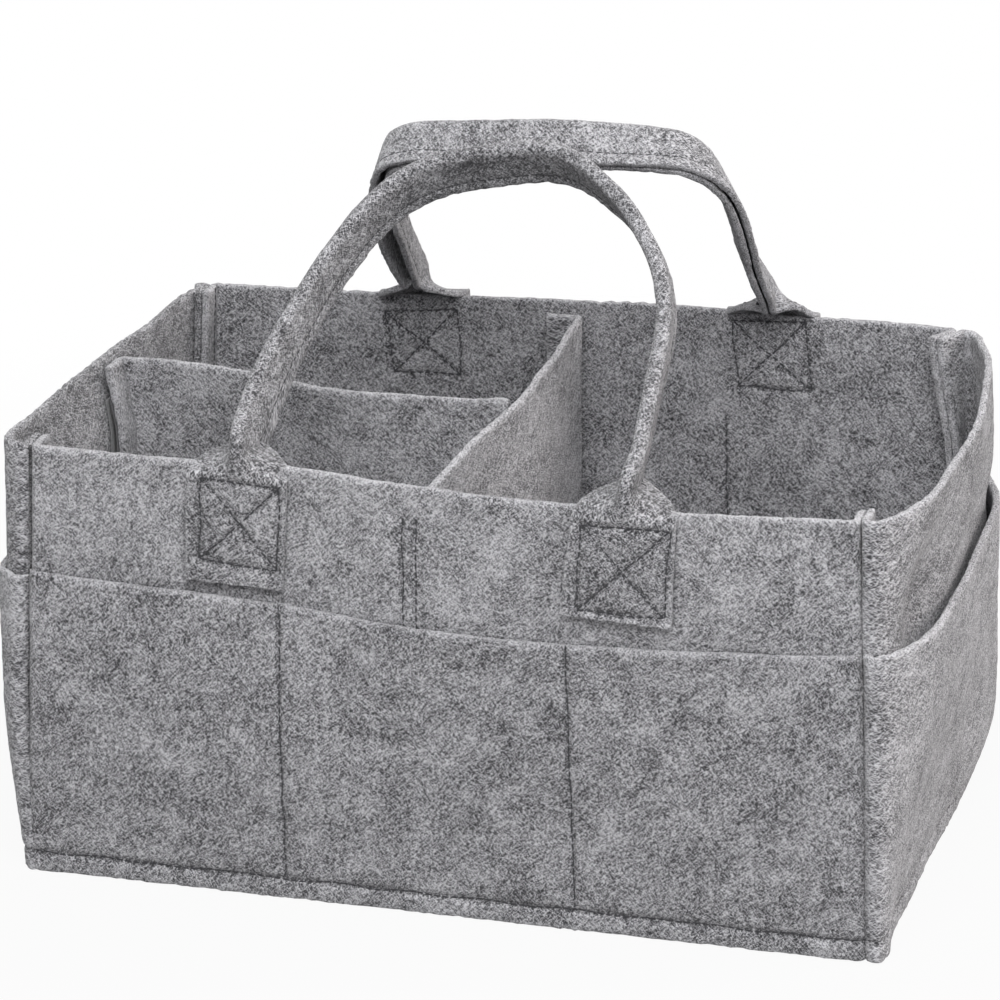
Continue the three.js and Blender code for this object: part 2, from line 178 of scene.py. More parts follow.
# Sizes are in millimetres, tones are shares of the way from dark to light
feltLook = {
    "dark": (0.030, 0.030, 0.034, 1), "light": (0.600, 0.596, 0.624, 1),
    "level": 0.26,  # middle of the melange
    "fibreWidth": 0.05, "fibreSize": 1.2,
    "grainSize": 0.5, "fleckSize": 3.2, "cloudSize": 8.0, "patchSize": 24.0,
    # edge: cut edges painted lighter, a painted highlight on their fuzz
    "tones": {"pale": 0.45, "deep": 0.12, "grain": 0.86, "cloud": 0.72, "patch": 0.45, "fleck": 0.08,
              "edge": 0.12, "sewn": 0.24},
    "rises": {"pale": 0.5, "deep": 0.35, "grain": 1.1, "cloud": 1.2},
    "bump": 0.8, "bumpDepth": 0.35,
    "roughness": 0.95, "specular": 0.15, "sheen": 0.25, "sheenRoughness": 0.6,
}


def makeFelt():
    look = feltLook
    tones, rises = look["tones"], look["rises"]
    material, tree, output = newMaterial("greyMelangeFelt")
    cut = attribute(tree, "cut", "Vector")
    width = look["fibreWidth"]

    def fibres(size, turn, stretch):
        # thin worm-like lines where a noise crosses its middle value
        lumps = noise(tree, cut, size * look["fibreSize"], 1.0, 0.4, stretch, turn)
        return 1 - abs(lumps - 0.5).between(width * 0.3, width * 1.7)

    pale = fibres(1.0, 0.75, (2.3, 0.75, 0.8)) + fibres(0.9, 2.3, (2.3, 0.75, 0.8))
    deep = fibres(1.1, 0.55, (2.1, 0.8, 0.8)) + fibres(1.2, 2.6, (2.1, 0.8, 0.8))
    grain = noise(tree, cut, look["grainSize"], 1.0, 0.6) - 0.5
    cloud = noise(tree, cut, look["cloudSize"], 3.0, 0.6) - 0.5
    patch = noise(tree, cut, look["patchSize"], 1.0, 0.5) - 0.5
    fleck = noise(tree, cut, look["fleckSize"], 2.0, 0.6).between(0.60, 0.74)
    strands = tones["pale"] * pale - tones["deep"] * deep
    tone = look["level"] + strands + tones["grain"] * grain + tones["cloud"] * cloud
    # the panel's painted light and shade is added to the tone
    tone = tone + tones["patch"] * patch - tones["fleck"] * fleck + attribute(tree, "shade")
    # sewn: painted shade in the pressed seam grooves
    tone = tone + tones["edge"] * attribute(tree, "edge") - tones["sewn"] * attribute(tree, "sewn")
    height = rises["pale"] * pale - rises["deep"] * deep + rises["grain"] * grain + rises["cloud"] * cloud
    finishCloth(tree, output, look, tone, height)
    return material


threadLook = {
    "dark": (0.018, 0.018, 0.021, 1), "light": (0.050, 0.050, 0.056, 1), "plySize": 0.5, "toneSize": 9.0,
    "bump": 0.4, "bumpDepth": 0.1, "roughness": 0.75, "specular": 0.3, "sheen": 0.2, "sheenRoughness": 0.5,
}


def makeThread():
    material, tree, output = newMaterial("darkSewingThread")
    place = Wire(addNode(tree, "ShaderNodeTexCoord"), "Object")
    ply = noise(tree, place, threadLook["plySize"], 1.0, 0.5)
    tone = noise(tree, place, threadLook["toneSize"], 1.0, 0.5) * 0.5 + ply * 0.5
    finishCloth(tree, output, threadLook, tone, ply)
    return material


tapeLook = {
    "napSize": 1.4, "randomness": 0.35, "darkShare": 0.35,
    "bump": 0.7, "bumpDepth": 0.4, "roughness": 0.8, "specular": 0.3, "sheen": 0.3, "sheenRoughness": 0.5,
}


def makeTape(name, pitch, grey):
    # woven fastening tape: rows of small hooks or a napped loop face
    material, tree, output = newMaterial(name)
    cut = attribute(tree, "cut", "Vector")
    cells = Wire(addNode(tree, "ShaderNodeTexVoronoi", None, {
        "Vector": cut, "Scale": 1 / (pitch * mm), "Randomness": tapeLook["randomness"]}), "Distance")
    nap = noise(tree, cut, tapeLook["napSize"], 2.0, 0.6)
    # the tape's cut edges are painted lighter, a painted highlight
    tone = (0.75 - cells) * 0.6 + (nap - 0.5) * 0.5 + 0.1 * attribute(tree, "edge")
    dark = tuple(tapeLook["darkShare"] * part for part in grey[:3]) + (1,)
    look = {**tapeLook, "dark": dark, "light": grey}
    finishCloth(tree, output, look, tone, (1 - cells) + nap * 0.4)
    return material


feltGrey = makeFelt()
threadDark = makeThread()
hookTape = makeTape("hookTape", 1.1, (0.23, 0.23, 0.24, 1))
loopTape = makeTape("loopTape", 0.7, (0.30, 0.30, 0.31, 1))
print("materials made")


# Shape helpers
def smooth(value, low, high):
    share = np.clip((value - low) / (high - low), 0, 1)
    return share * share * (3 - 2 * share)


def lerp(low, high, share):
    return low + (high - low) * share


def joined(*parts):
    # points from their coordinates, single numbers spread over the others
    return np.stack(np.broadcast_arrays(*parts), -1)


def waves(place, size, seed):
    # gentle seeded unevenness of about one unit, in waves about size millimetres long
    rng = np.random.default_rng(seed)
    place = np.asarray(place, float)
    turns = rng.normal(size=(place.shape[-1], 18))
    turns *= rng.uniform(0.6, 1.6, 18) / np.linalg.norm(turns, axis=0)
    return np.sin(place @ turns * (2 * math.pi / size) + rng.uniform(0, 2 * math.pi, 18)).sum(-1) / 3


def curveThrough(points):
    # smooth line through a few (place, height) points
    places, heights = np.array(points, float).T
    slopes = np.gradient(heights, places)

    def at(place):
        place = np.clip(place, places[0], places[-1])
        index = np.clip(np.searchsorted(places, place) - 1, 0, len(places) - 2)
        span = places[index + 1] - places[index]
        share = (place - places[index]) / span
        square = share * share
        cube = square * share
        return (
            (2 * cube - 3 * square + 1) * heights[index]
            + (cube - 2 * square + share) * span * slopes[index]
            + (3 * square - 2 * cube) * heights[index + 1]
            + (cube - square) * span * slopes[index + 1]
        )

    return at


def runAlong(points, axis=0):
    # length walked along a line of points, or along each line of a grid
    steps = np.diff(points, axis=axis, prepend=np.take(points, [0], axis))
    return np.linalg.norm(steps, axis=-1).cumsum(axis)


def placesOn(line, ruler, wanted):
    # points of a flat line at the wanted places of its ruler
    return np.stack([np.interp(wanted, ruler, line[:, axis]) for axis in (0, 1)], -1)


cloth = {
    "cutRound": 0.9,  # how far in from a cut edge the felt is rounded off
    "roundPower": 2.6,
    "fringe": 2.0,  # how far in a cut edge is frayed and painted lighter, a painted highlight on the fuzz
    "pinch": 0.36,  # share of the thickness lost under a seam
    "seamWidth": 1.3,
    "apart": 37.0,  # sets the melange of each sheet apart
}


def stations(low, high, step, marks=(), fine=0.8, reach=2.6, cut=(True, True)):
    # places along a panel: closer near marks, and a few for the rounding of a cut end
    ruler = np.linspace(low, high, 4001)
    density = np.full(ruler.shape, 1 / step)
    for mark in marks:
        density = np.where(np.abs(ruler - mark) < reach, 1 / fine, density)
    count = np.concatenate([[0], np.cumsum((density[1:] + density[:-1]) / 2 * np.diff(ruler))])
    places = np.interp(np.linspace(0, count[-1], max(2, round(count[-1])) + 1), count, ruler)
    rim = cloth["cutRound"] * np.array([0, 0.05, 0.2, 0.5])
    starts = low + rim if cut[0] else np.array([low])
    ends = (high - rim if cut[1] else np.array([high]))[::-1]
    inner = places[(places > starts[-1] + 0.25 * step) & (places < ends[0] - 0.25 * step)]
    return np.concatenate([starts, inner, ends])


def nearLines(along, height, lines):
    # 1 on a sewn line and 0 away from it
    best = np.full(np.broadcast(along, height).shape, 1e9)
    for (x0, z0), (x1, z1) in lines:
        dx, dz = x1 - x0, z1 - z0
        share = np.clip(((along - x0) * dx + (height - z0) * dz) / (dx * dx + dz * dz), 0, 1)
        best = np.minimum(best, np.hypot(along - x0 - share * dx, height - z0 - share * dz))
    return np.exp(-((best / cloth["seamWidth"]) ** 2))


def newPiece(name, points, faces, material):
    mesh = bpy.data.meshes.new(name)
    mesh.from_pydata(points, [], faces)
    mesh.polygons.foreach_set("use_smooth", np.ones(len(mesh.polygons), bool))
    mesh.materials.append(material)
    mesh.update()
    piece = bpy.data.objects.new(name, mesh)
    bpy.context.scene.collection.objects.link(piece)
    return piece


def clothSheet(name, middle, seed, half=1.5, press=0.0, sink=0.0, loop=False, material=None, rough=0.15,
               combed=1.0, shade=0.0, fringe=1.0, weave=0.0):
    # closed sheet on a grid of middle points: both faces, cut edges rounded, thinner where it is sewn
    press = np.broadcast_to(press, middle.shape[:2])
    if loop:
        across = np.roll(middle, -1, 1) - np.roll(middle, 1, 1)
    else:
        across = np.gradient(middle, axis=1)
    normal = np.cross(across, np.gradient(middle, axis=0))
    normal /= np.linalg.norm(normal, axis=-1, keepdims=True)
    run = runAlong(middle, 1)
    rise = runAlong(middle, 0)
    outside = middle + normal * half
    fromEdge = rise[-1] - rise
    if not loop:
        fromEdge = np.minimum.reduce([fromEdge, rise, run, run[:, -1:] - run])
    near = 1 - smooth(fromEdge, 0, cloth["fringe"])
    rounding = 1 - np.clip(fromEdge / cloth["cutRound"], 0, 1)
    power = cloth["roundPower"]
    thick = half * (1 - rounding ** power) ** (1 / power) * (1 - cloth["pinch"] * press)
    thick = thick * (1 + 0.04 * waves(middle, 9, seed + 1) + 0.03 * waves(middle, 3.5, seed + 2))
    frayed = np.stack([waves(middle, size, seed + 3 + k) for k, size in enumerate((5, 6, 4))], -1)
    middle = middle + frayed * (rough * near)[..., None] - normal * (sink * press)[..., None]
    rows, columns = middle.shape[:2]
    number = np.arange(rows * columns).reshape(rows, columns)
    other = number + number.size
    other[-1] = number[-1]
    if not loop:
        other[0] = number[0]
        other[:, 0] = number[:, 0]
        other[:, -1] = number[:, -1]
    faces = []
    for grid, step in ((number, 1), (other, -1)):
        closed = np.hstack([grid, grid[:, :1]]) if loop else grid
        corners = (closed[:-1, :-1], closed[:-1, 1:], closed[1:, 1:], closed[1:, :-1])
        faces.append(np.stack(corners[::step], -1).reshape(-1, 4))
    used, faces = np.unique(np.vstack(faces), return_inverse=True)
    offset = normal * thick[..., None]
    points = np.stack([middle + offset, middle - offset]).reshape(-1, 3)[used]
    wide = runAlong(outside, 1)
    wide = (wide - wide[:, columns // 2][:, None]) * combed + cloth["apart"] * seed
    tall = rise[:, columns // 2][:, None] + weave
    flat = middle if loop else joined(wide, tall, 0.0)
    layer = np.stack([thick, -thick])[..., None] * np.array([0, 0, 1.0])
    flat = (np.stack([flat, flat]) + layer).reshape(-1, 3)[used]
    piece = newPiece(name, points * mm, faces.reshape(-1, 4), material or feltGrey)
    stored = piece.data.attributes.new("cut", "FLOAT_VECTOR", "POINT")
    stored.data.foreach_set("vector", (flat * mm).astype(np.float32).ravel())
    # the shading value is the panel's painted light and shade
    for key, values in (("edge", near * fringe), ("sewn", press ** 2), ("shade", 0 * near + shade)):
        stored = piece.data.attributes.new(key, "FLOAT", "POINT")
        stored.data.foreach_set("value", np.stack([values, values]).reshape(-1)[used].astype(np.float32))
    return piece, (run[rows // 2, -1] * mm, rise[-1, columns // 2] * mm)


def turnedRound(points):
    return points * np.array([-1.0, -1.0, 1.0])


def dress(piece, body, slot, *nodes):
    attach(piece, body)
    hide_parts(*nodes)


# Sizes shared by all the panels, as the frame has them
caddy = {
    "felt": 3.0,
    "seat": 0.3,  # gap between layers
    "foldRadius": 1.8,  # middle of a pressed fold
    "foldRoom": 3.3,  # outside of a pressed fold
    "height": 180.0,
    "frontFace": -111.0,
    "baseSpan": 343.0,  # corner seam to corner seam
    "rimSpan": 327.0,
    "baseRoom": 0.6,  # end wall to its own seam flap
    "rimRoom": 12.5,
    "baseCorner": 12.0,
    "rimCorner": 55.0,
    "flap": 15.0,
    "flapLean": 7.3,  # of the right back corner's flaps, at the top
    "floorTop": 9.0,
    "hemLine": 8.2,
    "sway": 1.9,  # how far both front corners stand to the left
}
felt = caddy["felt"]
seat = caddy["seat"]
frontFace = caddy["frontFace"]
wallHeight = caddy["height"]
hem = caddy["hemLine"]

level = curveThrough([(-1, 0), (1, 0)])
# How each side departs from true, seen from outside with left to right as the length
sides = {
    "front": {
        "half": 168, "wave": 0.8, "bow": level, "seed": 11, "dip": 4.5, "flatAt": -12.4,
        "rim": curveThrough([(-170, 1), (-136, 0.3), (-55, 0), (-15, -2.6), (124, -3), (170, -1)]),
        "mouth": curveThrough([(-171, 4.9), (-95, 2.2), (-63, -0.2), (20, -4.6), (85, -3.2), (171, 2.2)]),
        "pocket": 124.0, "slack": 0.6,
        "tabs": (-80.0, 73.0), "tabBottom": 131.0, "tilt": (4.6, 0.5),
        "boxes": (((-96.1, 140.7), (-65.2, 137.9), (-63.4, 172.6), (-94.4, 175.1)),
                  ((54.6, 134.9), (88.6, 134.2), (90.6, 169.7), (55.9, 169.5))),
        "splits": ((-63.7, -65.0), (54.0, 50.1)),
    },
    "back": {
        "half": 168, "wave": 0.9, "bow": level, "seed": 12, "dip": 0.0, "flatAt": 7.0,
        "rim": curveThrough([
            (-170, 4.5), (-110, 5.6), (-60, 5.2), (0, 4.6), (60, 2.6), (120, 0.8), (170, -0.5)]),
        "mouth": curveThrough([(-171, 2.5), (-60, -0.5), (0, -3), (60, -1), (171, 2.5)]),
        "pocket": 139.0, "slack": 2.4,
        "tabs": (-85.0, 68.0), "tabBottom": 142.0, "tilt": (0.3, 1.4),
        "boxes": (((-102.7, 152.9), (-71.3, 152.1), (-68.0, 181.0), (-100.0, 183.7)),
                  ((50.2, 147.3), (80.7, 146.2), (84.4, 173.4), (52.2, 176.6))),
        "splits": ((-70.0, -66.4), (51.0, 51.0)),
    },
    "right": {
        "half": 109, "wave": 0.9, "seed": 13, "flatAt": 200.0,
        "bow": curveThrough([
            (-109, 0), (-95, 1.7), (-80, 3.2), (-60, 4.6), (-30, 5.8), (0, 6), (30, 5.4), (60, 3.6),
            (80, 1.2), (95, -1.2), (109, 0)]),
    },
    "left": {
        "half": 109, "wave": 0.9, "seed": 14, "flatAt": 3.2,
        "bow": curveThrough([
            (-109, 0), (-104, -6), (-98, -6.6), (-67, -9.6), (-3, -5.6), (54, -4.5), (80, -3), (100, 0.9),
            (105, 1.7), (109, 0)]),
    },
}
tape = {
    "width": 10.0, "thickness": 1.2, "bottom": 19.0, "top": 164.0,
    "lines": 5.2,  # between the two seams that hold it
    "places": {"front": -12.4, "back": -7.0},
}


def risen(base, rim, z):
    return lerp(caddy[base], caddy[rim], z / wallHeight)


def seamX(z):
    return risen("baseSpan", "rimSpan", z) / 2


def foldX(z):
    return seamX(z) + seat / 2 + caddy["foldRoom"]


def bulge(side, along, z):
    # outward stand-off that all layers of one side share
    setting = sides[side]
    share = np.clip(np.abs(along) / setting["half"], 0, 1)
    uneven = setting["wave"] * waves(joined(along, z), 120, setting["seed"])
    uneven = uneven * smooth(np.abs(along - setting["flatAt"]), 11, 36)  # none where a tape is sewn on
    return (1 - share ** 4) * smooth(z, 4, 50) * uneven + setting["bow"](along) * z / wallHeight


def tabBoxLines(side, index):
    # four sides and two diagonals of a sewn box
    bottomLeft, bottomRight, topRight, topLeft = sides[side]["boxes"][index]
    return [
        (bottomLeft, topLeft), (topLeft, topRight), (topRight, bottomRight), (bottomRight, bottomLeft),
        (bottomLeft, topRight), (topLeft, bottomRight),
    ]


def tapeLines(side):
    # two lines over the divider's tape
    middle = tape["places"][side] * (1 if side == "front" else -1)
    left, right = middle - tape["lines"] / 2, middle + tape["lines"] / 2
    low = sides[side]["pocket"] - 6
    return [((left, low), (left, tape["top"])), ((right, low), (right, tape["top"]))]


def splitLines(side):
    # partition seams of a long pocket, from the hem to its mouth
    setting = sides[side]
    low, high = hem + 2, setting["pocket"] - 1
    return [((x0, low), (x1, high + setting["mouth"](np.array(x1)))) for x0, x1 in setting["splits"]]


def hemSeam(half):
    return (-half, hem), (half, hem)


# Walls
bend = np.linspace(0, 1, 7)[1:-1] * math.pi / 2  # stations round a pressed fold


def flapPlaces(flap):
    # from the cut edge of a turned-in end to its fold
    return flap - stations(0, flap - caddy["foldRoom"], 2.0, cut=(True, False))


def channelLine(left, right, flap, shares):
    # middle line of a panel with both ends turned to +y, outer face on y = 0
    half = felt / 2
    room = caddy["foldRoom"]
    radius = caddy["foldRadius"]
    flapY = flapPlaces(flap)
    face = lerp(left + room, right - room, shares)
    x = [left + half + 0 * flapY, left + room - radius * np.cos(bend), face,
         right - room + radius * np.sin(bend), right - half + 0 * flapY]
    y = [flapY, room - radius * np.sin(bend), half + 0 * face, room - radius * np.cos(bend), flapY[::-1]]
    return joined(np.concatenate(x), np.concatenate(y))


def faceShares(low, high, step, marks):
    places = stations(low, high, step, marks, cut=(False, False))
    return (places - low) / (high - low)


def flapLean(inwards, z):
    # the seam flaps of the right back corner lean over at the top
    share = np.clip((inwards - caddy["foldRoom"]) / (caddy["flap"] - caddy["foldRoom"]), 0, 1)
    return caddy["flapLean"] * share * smooth(z, 125, 180)


def longWall(side):
    setting = sides[side]
    lines = tabBoxLines(side, 0) + tabBoxLines(side, 1) + tapeLines(side) + splitLines(side)
    lines.append(hemSeam(165))
    uprights = [x for corners in setting["boxes"] for x, z in corners]
    uprights += [x for pair in setting["splits"] for x in pair]
    levels = [hem, tape["top"]] + [z for corners in setting["boxes"] for x, z in corners]
    shares = faceShares(-164, 164, 2.3, uprights)
    rows = []
    for z in stations(0, wallHeight, 2.3, levels):
        edge = seamX(z) - seat / 2
        line = channelLine(-edge, edge, caddy["flap"], shares)
        x = line[:, 0]
        y = frontFace + line[:, 1] - bulge(side, x, z)
        # the rim sinks a little under the folded straps
        dip = setting["dip"] * sum(1 - smooth(np.abs(x - tab), 12, 19) for tab in setting["tabs"])
        height = z + setting["rim"](x) * (z / wallHeight) ** 2 - dip * (z / wallHeight) ** 12
        if side == "back":
            x = x + flapLean(line[:, 1], z) * (x < 0)
        rows.append(joined(x, y, height))
    middle = np.array(rows)
    return middle, nearLines(middle[..., 0], middle[..., 2], lines)


cornerAngles = np.linspace(-math.pi / 2, 0, 30)
straightShares = np.linspace(0, 1, 60)[1:-1]


def cornerLine(z, offset, slack):
    # round corner of an end panel from its front fold to its straight stretch
    depth = risen("baseCorner", "rimCorner", z)
    reach = felt + risen("baseRoom", "rimRoom", z) + slack + offset
    x = foldX(z) + reach * np.cos(cornerAngles)
    y = frontFace + depth + (depth + offset) * np.sin(cornerAngles)
    return x, y


def endLine(z, offset, slack):
    x, y = cornerLine(z, offset, slack)
    straightY = lerp(y[-1], -y[-1], straightShares)
    return np.concatenate([x, x[-1] + 0 * straightY, x[::-1]]), np.concatenate([y, straightY, -y[::-1]])


dents = {"right": 11.0, "left": 0.0}  # where the wall sinks in above its pocket
sag = {"depth": 4.5, "middle": -3.0, "half": 42.0}  # of the left end, where the long divider is fixed
rightFoot = curveThrough([
    (-114, 0.6), (-95, 4.8), (-75, 6), (-50, 5), (-20, 4.5), (20, 2), (60, 0.5), (114, 0)])
leftFoot = curveThrough([(-114, 0), (0, 0.3), (50, 3), (85, 6.6), (105, 7.4), (114, 6.6)])
fullness = curveThrough([
    (0, 0), (15, 4.2), (40, 4.4), (75, 3.4), (105, 1), (124, 0), (140, 2.4), (158, 2.2), (180, 0)])


def drawnIn(side, y, z):
    # the foot of each end is drawn in towards its front corner, the right back corner is fuller
    if side == "left":
        return leftFoot(y) * (1 - np.clip(z / 72, 0, 1)) ** 1.4
    full = fullness(z) * smooth(y, 5, 60) * (1 - smooth(y, 96, 111))
    return rightFoot(y) * (1 - smooth(z, 0, 115)) - full


def sagged(y, z):
    share = np.exp(-((y - sag["middle"]) / sag["half"]) ** 2)
    return sag["depth"] * share * smooth(z, 25, 110) * (1 - smooth(z, 146, 184))


def endWall(side):
    half = felt / 2
    room = caddy["foldRoom"]
    radius = caddy["foldRadius"]
    flapY = frontFace + flapPlaces(caddy["flap"])
    rows = []
    for z in stations(0, wallHeight, 2.3, [hem]):
        seam = seamX(z) + seat / 2
        flapX = seam + half + 0 * flapY
        endX, endY = endLine(z, -half, 0)
        foldLineX = seam + room - radius * np.cos(bend)
        foldLineY = frontFace + room - radius * np.sin(bend)
        x = np.concatenate([flapX, foldLineX, endX, foldLineX[::-1], flapX])
        y = np.concatenate([flapY, foldLineY, endY, -foldLineY[::-1], -flapY[::-1]])
        outer = y.copy()
        outer[:len(flapY)] = frontFace
        outer[-len(flapY):] = -frontFace
        rise = cornerRim(side, y) * (z / wallHeight) ** 2
        dent = dents[side] * np.exp(-((outer + 68) / 24) ** 2 - ((z - 132) / 26) ** 2)
        x = x + bulge(side, outer, z) - dent - drawnIn(side, outer, z)
        if side == "right":
            x[-len(flapY):] -= flapLean(-frontFace - y[-len(flapY):], z)
        else:
            x = x - sagged(-y, z) * (np.abs(outer) < 108)
        rows.append(joined(x, y, z + rise))
    middle = np.array(rows)
    return middle, nearLines(middle[..., 1], middle[..., 2], [hemSeam(112)])


def cornerRim(side, y):
    # rim height of an end wall, between the heights of the two long walls
    front = sides["front"]["rim"](np.array(170 if side == "right" else -170))
    back = sides["back"]["rim"](np.array(-170 if side == "right" else 170))
    first, last = (front, back) if side == "right" else (back, front)
    return lerp(first, last, smooth(y, -110, 110))


# Pockets
pocketLook = {
    "sink": 0.45,  # how far a seam sinks in
    "hemFlare": 0.55,
    "tuck": 3.0,  # how far an end is drawn in to its corner seam
    "tuckRun": 5.0,
    "valley": 1.7,  # width of the pressed corner seam
}


def tuckedIn(distance):
    return pocketLook["tuck"] * (1 - np.clip(distance / pocketLook["tuckRun"], 0, 1)) ** 2


def cornerValley(distance):
    return np.exp(-((distance / pocketLook["valley"]) ** 2))


def hemFlare(z):
    # raw edges stand out a little below the hem seam
    return pocketLook["hemFlare"] * (1 - smooth(z, 0, hem))


def mouthShare(z, height):
    return np.sqrt(np.clip((z - caddy["floorTop"]) / (height - caddy["floorTop"]), 0, 1))


def longPocket(side):
    setting = sides[side]
    top = setting["pocket"]
    edge = 171.0
    marks = [x for pair in setting["splits"] for x in pair]
    places = stations(-edge, edge, 2.4, marks + [-edge + 3, edge - 3])
    toEnd = edge - np.abs(places)
    tuck = tuckedIn(toEnd)
    rows = []
    for z in stations(0, top, 2.3, [hem]):
        x = places * (seamX(z) - seat / 2) / edge
        seams = np.array([-edge, *(lerp(x0, x1, z / top) for x0, x1 in setting["splits"]), edge])
        index = np.clip(np.searchsorted(seams, places) - 1, 0, 2)
        share = (places - seams[index]) / (seams[index + 1] - seams[index])
        puff = setting["slack"] * np.sin(math.pi * share) ** 0.8 * mouthShare(z, top)
        y = frontFace - seat - felt / 2 - puff - hemFlare(z) + tuck - bulge(side, x, z)
        height = z + setting["mouth"](x) * (z / top) ** 2
        rows.append(joined(x, y, height))
    middle = np.array(rows)
    press = nearLines(middle[..., 0], middle[..., 2], splitLines(side) + [hemSeam(170)])
    return middle, np.maximum(press, cornerValley(toEnd)[None, :])


endPocketLook = {
    "height": 124.0,
    "right": {"gape": 2.0, "from": -96, "full": 0, "back": 62},
    "left": {"gape": 2.2, "from": -95, "full": -10, "back": 30},
}
# from a corner seam to the start of the round corner
leadShares = np.array([0, 0.03, 0.12, 0.3, 0.55, 0.8])


def endPocket(side):
    setting = endPocketLook[side]
    top = endPocketLook["height"]
    mouth = curveThrough([(-112, 2.2), (-70, 1), (0, -0.6), (70, 0.5), (112, 2.5)])
    rows = []
    for z in stations(0, top, 2.3, [hem]):
        x, y = endLine(z, seat + felt / 2, 0.8 * mouthShare(z, top))
        seam = seamX(z) + seat / 2
        lead = lerp(seam, x[0], leadShares)
        tuck = tuckedIn(lead - seam)
        x = np.concatenate([lead, x, lead[::-1]])
        y = np.concatenate([y[0] + tuck, y, y[-1] - tuck[::-1]])
        slack = smooth(y, setting["from"], setting["full"]) * (1 - smooth(y, setting["back"], 112))
        onEnd = np.abs(y) < 108
        x = x + bulge(side, y, z) + setting["gape"] * slack * mouthShare(z, top) + hemFlare(z) * onEnd
        x = x - drawnIn(side, y, z)
        y = y + np.sign(y) * hemFlare(z) * ~onEnd
        rows.append(joined(x, y, z + mouth(y) * (z / top) ** 2))
    middle = np.array(rows)
    press = nearLines(middle[..., 1], middle[..., 2], [hemSeam(113)])
    valley = np.zeros(middle.shape[1])
    valley[:len(leadShares)] = cornerValley(leadShares * 3.5)
    return middle, np.maximum(press, np.maximum(valley, valley[::-1])[None, :])


felts = {}  # finished felt pieces by name
sheetSizes = {}
shades = {  # painted light and shade: how much darker or lighter than the rest each panel is painted, for the light it gets
    "front_pocket": -0.08, "back_pocket": -0.045, "right_pocket": 0.02,
    "left_wall": -0.10, "right_wall": -0.04, "back_wall": -0.05,
    "cross_divider": 0.04, "front_handle": -0.105, "back_handle": -0.02,
}


def swayed(points):
    # both front corners stand a little to the left
    points = points.copy()
    atFront = 1 - smooth(points[..., 1], -108, -60)
    points[..., 0] -= caddy["sway"] * smooth(np.abs(points[..., 0]), 100, 160) * atFront
    return points


def keepSheet(name, middle, seed, turned=False, **look):
    look.setdefault("shade", shades.get(name, 0.0))
    piece, flat = clothSheet(name, swayed(turnedRound(middle) if turned else middle), seed, **look)
    felts[name] = piece
    sheetSizes[name] = flat
    return piece


seedCount = 40
for side in ("front", "back", "right", "left"):
    atEnd = side in ("right", "left")
    makers = (endWall, endPocket) if atEnd else (longWall, longPocket)
    for part, maker, sink in zip(("wall", "pocket"), makers, (0, pocketLook["sink"])):
        middle, press = maker(side)
        seedCount += 10
        # the left wall's cut rim is painted darker instead of lighter: painted shade
        keepSheet(f"{side}_{part}", middle, seedCount, side in ("back", "left"), press=press, sink=sink,
                  combed=0.6 if atEnd else 1.0, fringe=-0.5 if (side, part) == ("left", "wall") else 1.0)
print("walls and pockets made")


# Raised floor with a turned-down edge
floorPanel = {"halfX": 175.05, "halfY": 107.7, "corner": 10.0, "bend": 2.2}


def roundedOutline(inset, count=240):
    # evenly spaced points on a rectangle with round corners, drawn in by inset
    halfX = floorPanel["halfX"] - inset
    halfY = floorPanel["halfY"] - inset
    radius = max(0.5, floorPanel["corner"] - inset)
    line = []
    for sideX, sideY, start in ((1, -1, -90), (1, 1, 0), (-1, 1, 90), (-1, -1, 180)):
        for angle in np.radians(start + np.linspace(0, 90, 12)):
            line.append((sideX * (halfX - radius) + radius * math.cos(angle),
                         sideY * (halfY - radius) + radius * math.sin(angle)))
    line = np.array(line + line[:1])
    ruler = runAlong(line)
    return placesOn(line, ruler, np.linspace(0, ruler[-1], count + 1)[:-1])


def basePanel():
    half = felt / 2
    top = caddy["floorTop"] - half
    room = floorPanel["bend"]
    flat = roundedOutline(half + room)
    rings = [(flat * share, top) for share in np.concatenate([[0.004], np.linspace(0.06, 1, 46)])]
    for angle in np.linspace(0, math.pi / 2, 7)[1:]:
        ring = roundedOutline(half + room - room * math.sin(angle))
        rings.append((ring, top - room + room * math.cos(angle)))
    skirt = roundedOutline(half)
    rings += [(skirt, z) for z in stations(0, top - room, 1.2, cut=(True, False))[::-1][1:]]
    middle = np.array([joined(*ring.T, z) for ring, z in rings])[:, ::-1]
    dip = 0.5 * waves(middle[..., :2], 130, 7) * (middle[..., 2] > top - 0.01)
    middle[..., 2] += np.minimum(dip, 0.4) * smooth(106 - np.abs(middle[..., 1]), 0, 40)
    middle[..., 0] -= drawnIn("right", middle[..., 1], middle[..., 2]) * smooth(middle[..., 0], 60, 170)
    middle[..., 0] += drawnIn("left", -middle[..., 1], middle[..., 2]) * smooth(-middle[..., 0], 60, 170)
    return middle


def closePole(piece):
    # the first ring of both faces is drawn together into one point
    mesh = piece.data
    places = np.array([vertex.co for vertex in mesh.vertices])
    inner = np.hypot(places[:, 0], places[:, 1]) < 0.9 * mm
    middleZ = places[inner][:, 2].mean()
    for upper in (True, False):
        chosen = inner & ((places[:, 2] > middleZ) == upper)
        places[chosen] = places[chosen].mean(0)
    mesh.vertices.foreach_set("co", places.ravel())
    work = bmesh.new()
    work.from_mesh(mesh)
    bmesh.ops.remove_doubles(work, verts=work.verts, dist=1e-6)
    work.to_mesh(mesh)
    work.free()
    mesh.update()


basePiece = keepSheet("base_panel", basePanel(), 150, loop=True)
closePole(basePiece)
print("floor made")

